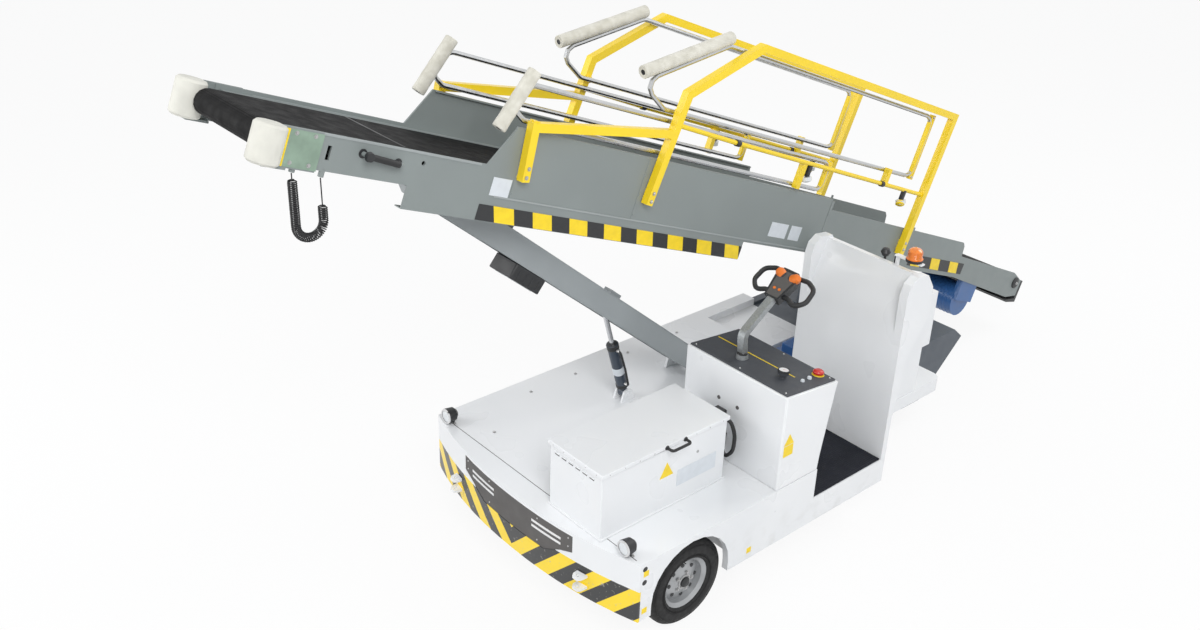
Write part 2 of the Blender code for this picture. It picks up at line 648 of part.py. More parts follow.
box("drive_motor", (REAR_X + BEAM_HALF + GAP, REAR_X + 0.33), (-0.14, 0.14), (0.17, 0.42 - GAP))

wheels = (
    # word, x, y, side
    ("front_left", FRONT_X, FRONT_Y, 1),
    ("front_right", FRONT_X, -FRONT_Y, -1),
    ("rear_left", REAR_X, REAR_Y, 1),
    ("rear_right", REAR_X, -REAR_Y, -1),
)
h = TYRE_W / 2
WHEEL_STEPS = 28
for word, wx, wy, s in wheels:
    centre = (wx, wy, TYRE_R)
    turned(
        f"tyre_{word}",
        [
            (-h * 0.82, RIM_R + GAP),
            (-h, RIM_R + 0.03),
            (-h, TYRE_R - 0.045),
            (-h * 0.6, TYRE_R),
            (h * 0.6, TYRE_R),
            (h, TYRE_R - 0.045),
            (h, RIM_R + 0.03),
            (h * 0.82, RIM_R + GAP),
        ],
        centre,
        (0, s, 0),
        WHEEL_STEPS,
    )
    # along is out from the middle of the tyre: rim band, dished disc and hub
    turned(
        f"rim_{word}",
        [
            (-h * 0.82, RIM_R),
            (h * 0.82, RIM_R),
            (h * 0.60, RIM_R - 0.024),
            (h * 0.16, RIM_R - 0.030),
            (h * 0.30, RIM_R - 0.055),
            (h * 0.62, 0.050),
            (h * 0.66, STUB_R + 2 * GAP),
            (-0.022, STUB_R + 2 * GAP),
            (-0.022, 0.060),
            (0.000, RIM_R - 0.055),
            (-0.010, RIM_R - 0.036),
            (-h * 0.82, RIM_R - 0.014),
        ],
        centre,
        (0, s, 0),
        WHEEL_STEPS,
    )

# ---------------------------------------------------------------- conveyor, drawn flat about its pivot

conveyor = []


def on_conveyor(obj):
    conveyor.append(obj)
    return obj


def yy(out):
    return CONV_Y + out


def tail_n(s, n):
    """Behind the raised panels the belt runs down a little."""
    if s >= PANEL_REAR_S:
        return n
    return n - REAR_DROP * (PANEL_REAR_S - s) / (PANEL_REAR_S - REAR_ROLLER_S)


plate_outline = [
    (FRONT_S, PANEL_LOW_N),
    (FRONT_S, FRONT_TOP_N),
    (SLANT_S[0], FRONT_TOP_N),
    (SLANT_S[1], PANEL_TOP_N),
    (STEP_S[0], PANEL_TOP_N),
    (STEP_S[1], REAR_TOP_N + 0.02),
    (PANEL_REAR_S + 0.03, REAR_TOP_N - 0.012),
    (PANEL_REAR_S, REAR_TOP_N - 0.04),
    (PANEL_REAR_S - 0.02, FRONT_TOP_N),
    (TAIL_S, tail_n(TAIL_S, FRONT_TOP_N)),
    (TAIL_S - TAIL_END, tail_n(TAIL_S, FRONT_TOP_N) - 0.06),
    (TAIL_S - TAIL_END, tail_n(TAIL_S, FRONT_TOP_N) - 0.20),
    (TAIL_S, 0.13),
    (PANEL_REAR_S, PANEL_LOW_N),
]
LUG_T = 0.022
for word, s in (("left", 1), ("right", -1)):
    outer = yy(s * HALF_CONV)
    inner = outer - s * PLATE
    frame = prism(f"side_frame_{word}", plate_outline, "y", min(inner, outer), max(inner, outer))
    c0, c1 = CHANNEL_N
    parts = []
    # channel under the plate: web flush with it, flanges turned in
    parts.append(box("web", CHANNEL_S, (outer, outer - s * CHANNEL_T), (c0, PANEL_LOW_N + 0.02)))
    parts.append(box("flange_low", CHANNEL_S, (outer, outer - s * FLANGE), (c0, c0 + CHANNEL_T)))
    parts.append(box("flange_top", CHANNEL_S, (outer, outer - s * FLANGE), (c1 - CHANNEL_T, c1 + 0.004)))
    # fold along the panel, and the lips that stiffen its top
    parts.append(box("top_lip", (SLANT_S[1] - 0.01, STEP_S[0] + 0.01), (outer - s * 0.004, outer - s * 0.030), (PANEL_TOP_N - 0.008, PANEL_TOP_N)))
    # bracket that carries the bumper
    parts.append(box("bumper_arm", (FRONT_S - 0.15, FRONT_S + 0.06), (outer - s * 0.004, outer + s * 0.012), (PANEL_LOW_N - 0.012, FRONT_TOP_N + 0.002)))
    parts.append(box("bumper_foot", (FRONT_S + 0.0, FRONT_S + 0.125), (outer - s * 0.030, outer + s * 0.012), (PANEL_LOW_N - 0.022, PANEL_LOW_N - 0.010)))
    # end plate for the front roller
    e0 = yy(s * (BELT_HALF + 0.004 + GAP))
    parts.append(box("end_plate", (FRONT_S - 0.20, FRONT_ROLLER_S + 0.035), (e0, e0 + s * END_PLATE), (0.268, 0.366)))
    parts.append(box("end_tie", (FRONT_S - 0.19, FRONT_S - 0.11), (e0 + s * 0.002, inner + s * 0.003), (0.272, 0.362)))
    # pivot lug
    y0 = yy(s * (STAND_Y + 0.035))
    parts.append(prism("lug", [(-0.10, PANEL_LOW_N + 0.03), (0.10, PANEL_LOW_N + 0.03), (0.035, -0.02), (0.015, -0.04), (-0.015, -0.04), (-0.035, -0.02)], "y", min(y0 - LUG_T / 2, y0 + LUG_T / 2), max(y0 - LUG_T / 2, y0 + LUG_T / 2)))
    parts.append(box("lug_tie", (-0.10, 0.10), (y0 - s * LUG_T / 2, inner + s * 0.002), (PANEL_LOW_N + 0.008, PANEL_LOW_N + 0.035)))
    join(frame, *parts)
    cut(frame, rod("lug_hole", (0, y0 - 0.05, 0), (0, y0 + 0.05, 0), 0.020 + 0.001))
    for i, (sx, nx) in enumerate(((5.155, 0.345), (5.095, 0.318))):
        cut(frame, prism("slot", [(sx - 0.011, nx - 0.035), (sx + 0.011, nx - 0.035), (sx + 0.011, nx + 0.035), (sx - 0.011, nx + 0.035)], "y", outer - 0.05, outer + 0.05))
    cut(frame, rod("hole", (4.55, outer - 0.05, 0.352), (4.55, outer + 0.05, 0.352), 0.012, 12))
    # carrying handle near the front
    join(frame, swept("grip", rounded([(4.91, outer - s * 0.004, 0.345), (4.91, outer + s * 0.045, 0.345), (4.70, outer + s * 0.045, 0.330), (4.70, outer - s * 0.004, 0.330)], 0.02, 3), ring_section(0.012, 8), across=(0, 0, 1)))
    if word == "left":
        join(frame, *[rod(f"gland{i}", (cs, outer - s * 0.011, PANEL_LOW_N - 0.030), (cs, outer - s * 0.011, PANEL_LOW_N + 0.009), 0.0145, 12) for i, cs in enumerate((5.253, 5.097))])
    on_conveyor(frame)

# bed under the belt, with the cross ties
bed_half = HALF_CONV - PLATE - GAP
bed_top = BELT_TOP_N - BELT_T - GAP
bed = box("belt_bed", (PANEL_REAR_S + 0.0, FRONT_ROLLER_S - 0.10), (yy(-bed_half), yy(bed_half)), (bed_top - 0.010, bed_top))
ties = [box(f"tie{i}", (s - 0.03, s + 0.03), (yy(-bed_half), yy(bed_half)), (0.262, bed_top - 0.004)) for i, s in enumerate((4.95, 3.9, 2.75, 1.6, 0.45, -0.6))]
# the slope of the tail
tail_bed = prism(
    "tail_bed",
    [(PANEL_REAR_S + 0.01, bed_top - 0.010), (PANEL_REAR_S + 0.01, bed_top), (REAR_ROLLER_S + 0.10, tail_n(REAR_ROLLER_S + 0.10, bed_top)), (REAR_ROLLER_S + 0.10, tail_n(REAR_ROLLER_S + 0.10, bed_top - 0.010))],
    "y",
    yy(-bed_half),
    yy(bed_half),
)
join(bed, tail_bed, *ties)

# belt: one closed loop round both rollers
END_STEPS = 8  # flats round each end of the belt
belt_in_r = (ROLLER_R + GAP) / math.cos(math.pi / END_STEPS / 2)
front_n = BELT_TOP_N - BELT_T - belt_in_r
rear_n = tail_n(REAR_ROLLER_S, front_n)


def loop(radius):
    pts = []
    for k in range(END_STEPS + 1):  # front end, over the top to below
        t = math.pi / 2 - math.pi * k / END_STEPS
        pts.append((FRONT_ROLLER_S + radius * math.cos(t), front_n + radius * math.sin(t)))
    pts.append((PANEL_REAR_S, front_n - radius))
    for k in range(END_STEPS + 1):
        t = -math.pi / 2 - math.pi * k / END_STEPS
        pts.append((REAR_ROLLER_S + radius * math.cos(t), rear_n + radius * math.sin(t)))
    pts.append((PANEL_REAR_S, front_n + radius))
    return pts


belt = prism("belt", loop(belt_in_r + BELT_T), "y", yy(-BELT_HALF), yy(BELT_HALF))
cut(belt, prism("belt_in", loop(belt_in_r), "y", yy(-BELT_HALF) - 0.1, yy(BELT_HALF) + 0.1))
on_conveyor(belt)
# the ties pass inside the loop above its lower run
low_run = front_n - belt_in_r
cut(bed, box("under_ties", (-3, 6), (yy(-BELT_HALF - 0.01), yy(BELT_HALF + 0.01)), (0.0, low_run + 0.012)))
on_conveyor(bed)
for name, s, n in (("front_roller", FRONT_ROLLER_S, front_n), ("rear_roller", REAR_ROLLER_S, rear_n)):
    roller = rod(name, (s, yy(-BELT_HALF - 0.004), n), (s, yy(BELT_HALF + 0.004), n), ROLLER_R, 28)
    if name == "rear_roller":
        join(roller, rod("journal", (s, yy(-HALF_CONV + PLATE + GAP), n), (s, yy(HALF_CONV - PLATE - GAP), n), 0.022, 16))
    on_conveyor(roller)

# rear end guard and the belt's motor under the frame
guard = prism(
    "rear_guard",
    [(TAIL_S - GUARD_GAP, tail_n(TAIL_S, 0.40) - 0.05), (TAIL_S - 0.205, tail_n(TAIL_S, 0.40) - 0.05), (TAIL_S - 0.205, tail_n(TAIL_S, 0.40) - 0.25), (TAIL_S - 0.05, 0.085), (TAIL_S - 0.02, 0.105), (TAIL_S - GUARD_GAP, tail_n(TAIL_S, 0.40) - 0.22)],
    "y",
    yy(-HALF_CONV),
    yy(HALF_CONV),
)
on_conveyor(guard)
MOTOR_S = -1.30
MOTOR_N = 0.035
MOTOR_R = 0.140
motor_end = yy(HALF_CONV - PLATE - GAP)
motor = rod("belt_motor", (MOTOR_S, yy(-0.02), MOTOR_N), (MOTOR_S, motor_end - 0.03, MOTOR_N), MOTOR_R, 24)
join(motor, box("motor_tie", (MOTOR_S - 0.13, MOTOR_S + 0.13), (motor_end - 0.05, motor_end), (MOTOR_N, MOTOR_N + 0.20)))
on_conveyor(motor)

# bumpers: upright padded drums on the front corners
for word, s in (("left", 1), ("right", -1)):
    drum = turned(f"bumper_{word}", [(0, 0), (0, 0.068), (0.012, 0.080), (0.178, 0.080), (0.190, 0.068), (0.190, 0)], (FRONT_S + 0.12, yy(s * HALF_CONV), PANEL_LOW_N - 0.010 + GAP), (0, 0, 1), 24)
    cut(drum, box("drum_room", (FRONT_S - 0.3, FRONT_S + 0.0606), (yy(s * HALF_CONV - 0.013), yy(s * HALF_CONV + 0.013)), (0, 1)))
    cut(drum, box("drum_room2", (FRONT_S - 0.3, FRONT_S + 0.0606), (yy(s * HALF_CONV - s * 0.0), yy(s * HALF_CONV - s * 0.2)), (0, 1)))
    on_conveyor(drum)

# handrails: square yellow tube on the outside of each side plate, round tube between its posts
MID_RAIL_N = 0.815
for word, s in (("left", 1), ("right", -1)):
    y = yy(s * RAIL_Y)
    sq = square_section(RAIL, RAIL)
    rail = swept(
        f"handrail_{word}",
        [(2.92, y, 0.36), (2.88, y, 1.04), (2.37, y, 1.43), (0.0, y, 1.43), (0.03, y, 0.34)],
        sq,
    )
    low = swept("low_rail", [(3.91, y, 0.36), (3.95, y, 0.655), (2.895, y, 0.80)], sq)
    mid = swept("mid_rail", [(2.90, y, MID_RAIL_N + 0.04), (2.3, y, MID_RAIL_N + 0.025), (0.0, y, MID_RAIL_N)], ring_section(TUBE_R, 8))
    plates = [box(f"pad{i}", (a - 0.022, a + 0.022), (y, yy(s * (HALF_CONV + GAP))), (b - 0.05, b + 0.03)) for i, (a, b) in enumerate(((3.915, 0.42), (2.915, 0.42), (0.03, 0.42)))]
    # guides beside the sliding tubes: s, lowest n, highest n
    guides = []
    for i, (gs, n0, n1) in enumerate(((2.885, UPPER_N[0] - 0.02, UPPER_N[0] + 0.02), (3.935, LOWER_N[0] - 0.03, LOWER_N[0] + 0.02), (0.55, MID_RAIL_N - 0.005, UPPER_N[0] + 0.02), (1.55, LOWER_N[0] - 0.02, MID_RAIL_N + 0.01))):
        guides.append(box(f"guide{i}", (gs - 0.018, gs + 0.018), (y + s * 0.004, yy(s * (SLIDE_Y + TUBE_R + GAP))), (n0, n1)))
    join(rail, low, mid, *plates, *guides)
    join(rail, turned("clamp_knob", [(0, 0), (0, 0.030), (0.025, 0.034), (0.032, 0.024), (0.032, 0)], (0.28, y, 0.73), (0.3, s * 0.5, -1), 12), rod("clamp_stem", (0.28, y, 0.715), (0.28, y, MID_RAIL_N), 0.010, 10))
    on_conveyor(rail)

    y = yy(s * SLIDE_Y)
    tube = ring_section(TUBE_R, 8)
    upper = swept(
        f"upper_slide_rail_{word}",
        rounded([(0.18, y, UPPER_N[0]), (2.98, y, UPPER_N[0]), (3.22, y, 1.03), (2.60, y, UPPER_N[1]), (0.18, y, UPPER_N[1])], 0.08, 3, True),
        tube,
        True,
    )
    join(upper, swept("pad", [(3.235, y, 1.085), (2.61, y, 1.425)], ring_section(PAD_R, 12)), swept("strut", [(0.185, y, UPPER_N[0] - 0.018), (0.185, y, UPPER_N[1] + 0.018)], square_section(0.022, STRUT_HALF)))
    on_conveyor(upper)
    lower = swept(
        f"lower_slide_rail_{word}",
        rounded([(1.22, y, LOWER_N[0]), (3.98, y, LOWER_N[0]), (4.08, y, 0.72), (4.0, y, LOWER_N[1]), (1.22, y, LOWER_N[1])], 0.06, 3, True),
        tube,
        True,
    )
    join(lower, swept("pad", [(4.13, y, 0.60), (4.005, y, 0.93)], ring_section(PAD_R, 12)), swept("strut", [(1.225, y, LOWER_N[0] - 0.013), (1.225, y, LOWER_N[1] + 0.015)], square_section(0.022, STRUT_HALF)))
    on_conveyor(lower)

to_world = Matrix.Translation((PIVOT[0], 0, PIVOT[1])) @ Matrix.Rotation(-TILT, 4, "Y")
place(to_world, *conveyor)

# ---------------------------------------------------------------- lift arm, drawn flat from its foot

roller_at = to_world @ Vector((ARM_TOP[0], 0, ARM_TOP[1]))
foot = Vector((ARM_FOOT[0], 0, ARM_FOOT[1]))
arm_vec = roller_at - foot
ARM_L = arm_vec.length
arm_tilt = math.atan2(arm_vec.z, arm_vec.x)
arm_world = Matrix.Translation(foot) @ Matrix.Rotation(-arm_tilt, 4, "Y")
arm_local = arm_world.inverted()
d = ARM_DEPTH / 2
arm = prism("lift_arm", [(-0.06, -0.05), (-0.045, 0.03), (0.05, d), (ARM_L - 0.10, d), (ARM_L + 0.03, 0.035), (ARM_L + 0.045, -0.02), (ARM_L - 0.05, -d), (0.10, -d), (0.0, -0.06)], "y", CONV_Y - ARM_HALF, CONV_Y + ARM_HALF)
cut(arm, prism("arm_in", [(0.09, -0.3), (0.09, d - ARM_WALL), (ARM_L - 0.13, d - ARM_WALL), (ARM_L - 0.09, 0.0), (ARM_L - 0.09, -0.3)], "y", CONV_Y - ARM_HALF + ARM_WALL, CONV_Y + ARM_HALF - ARM_WALL))
cut(arm, rod("foot_hole", (0, CONV_Y - 0.2, 0), (0, CONV_Y + 0.2, 0), PIN_R + 0.001))
roller_y = HALF_CONV - CHANNEL_T - 0.006
ROLLER_W = 0.035
SHAFT_R = 0.023
shaft_l = 2 * roller_y
shaft = turned(
    "arm_shaft",
    [
        (0, 0),
        (0, TRACK_ROLLER_R),
        (ROLLER_W, TRACK_ROLLER_R),
        (ROLLER_W, SHAFT_R),
        (shaft_l - ROLLER_W, SHAFT_R),
        (shaft_l - ROLLER_W, TRACK_ROLLER_R),
        (shaft_l, TRACK_ROLLER_R),
        (shaft_l, 0),
    ],
    (ARM_L, CONV_Y - roller_y, 0),
    (0, 1, 0),
    20,
)
join(arm, shaft)
eye = arm_local @ Vector((CYL_EYE[0], 0, CYL_EYE[1]))
EYE_HALF = 0.022
join(
    arm,
    box("rod_boss", (eye.x - 0.045, eye.x + 0.06), (CONV_Y - 0.035, CONV_Y + 0.035), (d - 0.002, d + 0.030)),
    *[box(f"rod_cheek{s}", (eye.x - 0.030, eye.x + 0.032), (CONV_Y + s * (EYE_HALF + PIN_GAP), CONV_Y + s * (EYE_HALF + PIN_GAP + 0.012)), (eye.z - 0.030, d - 0.004)) for s in (-1, 1)],
)
arm_lamp = box("arm_lamp", (ARM_L - 1.16, ARM_L - 0.88), (CONV_Y - ARM_HALF + 0.004, CONV_Y + ARM_HALF - 0.004), (-d - 0.10, -d - GAP))
place(arm_world, arm, arm_lamp)

# ---------------------------------------------------------------- lift cylinder

base = Vector((CYL_FOOT[0], CONV_Y, CYL_FOOT[1]))
tip = Vector((CYL_EYE[0], CONV_Y, CYL_EYE[1]))
axis = (tip - base).normalized()
span = (tip - base).length
across = Vector((0, 1, 0))
barrel = turned("cylinder_barrel", [(0.055, 0), (0.055, BARREL_R), (BARREL_L, BARREL_R), (BARREL_L, ROD_R + 0.001), (BARREL_L - 0.36, ROD_R + 0.001), (BARREL_L - 0.36, 0)], base, axis, 24)
join(barrel, rod("neck", base + axis * 0.005, base + axis * 0.068, 0.021, 16), rod("foot_eye", base - across * 0.024, base + across * 0.024, 0.032, 20))
cut(barrel, rod("foot_bore", base - across * 0.1, base + across * 0.1, PIN_R + 0.001, 20))
ram = rod("cylinder_rod", base + axis * (BARREL_L - 0.10), tip - axis * 0.020, ROD_R, 20)
join(ram, sleeve("rod_eye", tip - across * 0.022, tip + across * 0.022, 0.030, 0.015, 20))
hose_out = across  # the hose loops to the left of the barrel
ports = [base + axis * 0.40, base + axis * 0.10]
HOSE_OUT = ARM_HALF - ARM_WALL - 0.019  # the arm comes down round it
hose = swept(
    "cylinder_hose",
    rounded(
        [
            ports[0] + hose_out * (BARREL_R + GAP),
            ports[0] + hose_out * (HOSE_OUT - 0.008),
            base + axis * 0.25 + hose_out * HOSE_OUT,
            ports[1] + hose_out * (HOSE_OUT - 0.008),
            ports[1] + hose_out * (BARREL_R + GAP),
        ],
        0.06,
        3,
    ),
    ring_section(0.008, 8),
    across=axis.cross(across),
)

# ---------------------------------------------------------------- cords

COIL_R = 0.024
COIL_Y = yy(HALF_CONV) - 0.011
COIL_ENDS = (5.253, 5.097)  # where it leaves the near side plate
COIL_DROP = 0.34
CABLE_R = 0.009

# the curly cord hangs in a U under the conveyor's front end: one fat tube here
GLAND_R = 0.0145
GLAND_L = 0.030
gland_low = Vector((0, 0, -GLAND_R * math.sin(TILT) - GAP))
coil_top = [to_world @ Vector((s, COIL_Y, PANEL_LOW_N - GLAND_L)) + gland_low for s in COIL_ENDS]
coil_half = (coil_top[0].x - coil_top[1].x) / 2
coil_mid = (coil_top[0].x + coil_top[1].x) / 2
coil_bend_z = coil_top[0].z - COIL_DROP + coil_half
coil_path = [coil_top[0]]
for k in range(9):
    t = math.pi * k / 8
    coil_path.append(Vector((coil_mid + coil_half * math.cos(t), COIL_Y, coil_bend_z - coil_half * math.sin(t))))
coil_path.append(coil_top[1])
swept("curly_cord", coil_path, ring_section(COIL_R, 12))

# the battery's cable hangs from its plug and turns back into the box
cable_y = 0.545
cable_x = BOX_X[1] - 0.060
swept(
    "battery_cable",
    rounded(
        [
            (cable_x, cable_y, PLUG_Z[0] - GAP),
            (cable_x, cable_y, 0.90),
            (cable_x - 0.025, cable_y, 0.85),
            (cable_x - 0.015, cable_y, 0.80),
            (BOX_X[1] - GAP, cable_y, 0.80),
        ],
        0.04,
        3,
    ),
    ring_section(CABLE_R, 10),
)

# ---------------------------------------------------------------- origin at the bottom centre of the box

low = [1e9, 1e9]
high = [-1e9, -1e9]
for obj in bpy.context.scene.objects:
    for v in obj.data.vertices:
        for i in range(2):
            low[i], high[i] = min(low[i], v.co[i]), max(high[i], v.co[i])
middle = [(a + b) / 2 for a, b in zip(low, high)]
for obj in bpy.context.scene.objects:
    obj.data.transform(Matrix.Translation((-middle[0], -middle[1], 0)))
print("moved by", [round(-m, 6) for m in middle])

# ---------------------------------------------------------------- moving pieces turn about their origins


def origin_at(nodes, x, y, z):
    """Gives these objects their origin on their joint's axis, without moving them."""
    point = Vector((x - middle[0], y - middle[1], z))
    for node in nodes:
        piece = bpy.data.objects[node]
        piece.data.transform(Matrix.Translation(-point))
        piece.location = point


for side, name in ((1, "left"), (-1, "right")):
    origin_at([f"knuckle_{name}"], FRONT_X, side * KINGPIN_Y, TYRE_R)
    origin_at([f"tyre_front_{name}", f"rim_front_{name}"], FRONT_X, side * FRONT_Y, TYRE_R)
    origin_at([f"tyre_rear_{name}", f"rim_rear_{name}"], REAR_X, side * REAR_Y, TYRE_R)
origin_at(["battery_lid"], HANDLE_X, BOX_Y[0] - LID_OVER, LID_Z - LID_DROP + GAP)
origin_at(["tiller_arm", "tiller_head"], *TILLER, foot_top)
origin_at(["lift_arm", "arm_lamp"], ARM_FOOT[0], CONV_Y, ARM_FOOT[1])
origin_at(["cylinder_barrel", "cylinder_hose", "cylinder_rod"], CYL_FOOT[0], CONV_Y, CYL_FOOT[1])
CONVEYOR_NODES = [
    "belt",
    "belt_bed",
    "front_roller",
    "rear_roller",
    "rear_guard",
    "belt_motor",
    "curly_cord",
]
CONVEYOR_PAIRS = [
    "side_frame",
    "bumper",
    "handrail",
    "upper_slide_rail",
    "lower_slide_rail",
]
CONVEYOR_NODES += [f"{pair}_{name}" for pair in CONVEYOR_PAIRS for name in ("left", "right")]
origin_at(CONVEYOR_NODES, PIVOT[0], CONV_Y, PIVOT[1])

# ---------------------------------------------------------------- materials

FINISHES = {  # colour, roughness, metallic, and the nodes it is on
    "white_paint": (
        (0.83, 0.85, 0.86),
        0.30,
        0.0,
        "chassis_body front_bumper battery_box battery_lid console backrest rear_cabinet",
    ),
    "grey_plastic": ((0.16, 0.17, 0.18), 0.6, 0.0, "grille"),
    "lamp": ((0.10, 0.10, 0.11), 0.2, 0.0, "headlight_left headlight_right arm_lamp"),
    "console_grey": ((0.22, 0.23, 0.25), 0.55, 0.0, "console_panel"),
    "black_plastic": ((0.03, 0.03, 0.035), 0.5, 0.0, "battery_plug lever tiller_head rear_guard"),
    "mat_rubber": ((0.035, 0.035, 0.04), 0.8, 0.0, "operator_mat"),
    "amber": ((0.90, 0.36, 0.04), 0.25, 0.0, "beacon"),
    "chassis_grey": (
        (0.14, 0.15, 0.17),
        0.5,
        0.0,
        "rear_frame hydraulic_unit front_axle rear_axle drive_motor knuckle_left knuckle_right",
    ),
    "battery_block": ((0.10, 0.11, 0.12), 0.6, 0.0, "battery_pack"),
    "tyre": (
        (0.03, 0.03, 0.032),
        0.8,
        0.0,
        "tyre_front_left tyre_front_right tyre_rear_left tyre_rear_right",
    ),
    "rim_steel": (
        (0.42, 0.44, 0.46),
        0.4,
        0.3,
        "rim_front_left rim_front_right rim_rear_left rim_rear_right",
    ),
    "panel_grey": ((0.20, 0.235, 0.235), 0.5, 0.0, "side_frame_left side_frame_right belt_bed"),
    "belt_rubber": ((0.025, 0.027, 0.03), 0.75, 0.0, "belt"),
    "steel": (
        (0.55, 0.56, 0.57),
        0.35,
        1.0,
        "front_roller rear_roller tiller_arm upper_slide_rail_left upper_slide_rail_right "
        "lower_slide_rail_left lower_slide_rail_right",
    ),
    "motor_blue": ((0.06, 0.20, 0.45), 0.4, 0.0, "belt_motor"),
    "bumper_white": ((0.80, 0.81, 0.80), 0.6, 0.0, "bumper_left bumper_right"),
    "yellow_paint": ((0.93, 0.74, 0.03), 0.35, 0.0, "handrail_left handrail_right"),
    "arm_grey": ((0.26, 0.28, 0.30), 0.45, 0.0, "lift_arm"),
    "cylinder_dark": ((0.07, 0.10, 0.15), 0.3, 0.0, "cylinder_barrel"),
    "chrome_rod": ((0.80, 0.80, 0.82), 0.1, 1.0, "cylinder_rod"),
    "black_rubber": ((0.02, 0.02, 0.022), 0.7, 0.0, "cylinder_hose curly_cord battery_cable"),
}

for finish, (colour, roughness, metallic, nodes) in FINISHES.items():
    for node in nodes.split():
        paint = bpy.data.materials.new(f"{node}_{finish}")
        paint.use_nodes = True
        shader = paint.node_tree.nodes["Principled BSDF"]
        shader.inputs["Base Color"].default_value = (*colour, 1)
        shader.inputs["Roughness"].default_value = roughness
        shader.inputs["Metallic"].default_value = metallic
        bpy.data.objects[node].data.materials.append(paint)
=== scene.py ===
"""Looks for the baggage belt loader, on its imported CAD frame. Metres; X forward, Y to its left, Z up."""

import json
import math

import bmesh
import bpy
from mathutils import Matrix, Vector


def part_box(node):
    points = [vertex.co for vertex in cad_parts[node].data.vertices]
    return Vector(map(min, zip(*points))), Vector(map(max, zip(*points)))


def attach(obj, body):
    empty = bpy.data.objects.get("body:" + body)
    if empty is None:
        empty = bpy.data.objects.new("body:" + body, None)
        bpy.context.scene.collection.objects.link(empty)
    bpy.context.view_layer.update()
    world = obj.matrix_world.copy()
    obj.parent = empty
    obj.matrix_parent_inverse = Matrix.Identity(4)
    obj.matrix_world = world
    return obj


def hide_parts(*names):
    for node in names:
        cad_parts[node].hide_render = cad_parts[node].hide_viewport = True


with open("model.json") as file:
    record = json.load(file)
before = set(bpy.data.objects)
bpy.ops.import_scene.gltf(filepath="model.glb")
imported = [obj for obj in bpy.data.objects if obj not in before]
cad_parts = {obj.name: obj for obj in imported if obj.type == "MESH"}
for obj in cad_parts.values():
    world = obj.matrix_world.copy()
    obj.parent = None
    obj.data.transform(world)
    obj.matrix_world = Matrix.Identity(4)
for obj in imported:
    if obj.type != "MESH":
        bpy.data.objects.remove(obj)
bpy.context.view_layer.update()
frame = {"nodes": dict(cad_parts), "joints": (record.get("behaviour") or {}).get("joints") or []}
scene = bpy.context.scene
nodes = frame["nodes"]
joints = {joint["name"]: joint for joint in frame["joints"]}

PIVOT = Vector(joints["conveyor_tilt"]["pos_m"])
ALONG = Vector(joints["upper_rail_left_slide"]["axis"])
UP = Vector((-ALONG.z, 0, ALONG.x))
SLOPE = math.atan2(ALONG.z, ALONG.x)
SKIN = 0.0015  # how far a plate or label stands over what it is on
OFF = 0.0003  # the gap that a flat piece keeps to what it lies on

# ---------------------------------------------------------------- camera

EYE = Vector((5.8198, 4.8756, 5.1656))
AZIMUTH = math.radians(-131.88)
DROP = math.radians(27.86)
ROLL = 0.0368


def make_camera():
    ahead = Vector((math.cos(DROP) * math.cos(AZIMUTH), math.cos(DROP) * math.sin(AZIMUTH), -math.sin(DROP)))
    right = ahead.cross(Vector((0, 0, 1))).normalized()
    above = right.cross(ahead)
    right, above = (
        right * math.cos(ROLL) + above * math.sin(ROLL),
        above * math.cos(ROLL) - right * math.sin(ROLL),
    )
    data = bpy.data.cameras.new("camera")
    data.lens = 36.985
    data.sensor_width = 36
    camera = bpy.data.objects.new("camera", data)
    scene.collection.objects.link(camera)
    turn = Matrix((right, above, -ahead)).transposed()
    camera.matrix_world = Matrix.Translation(EYE) @ turn.to_4x4()
    scene.camera = camera


make_camera()

# ---------------------------------------------------------------- materials


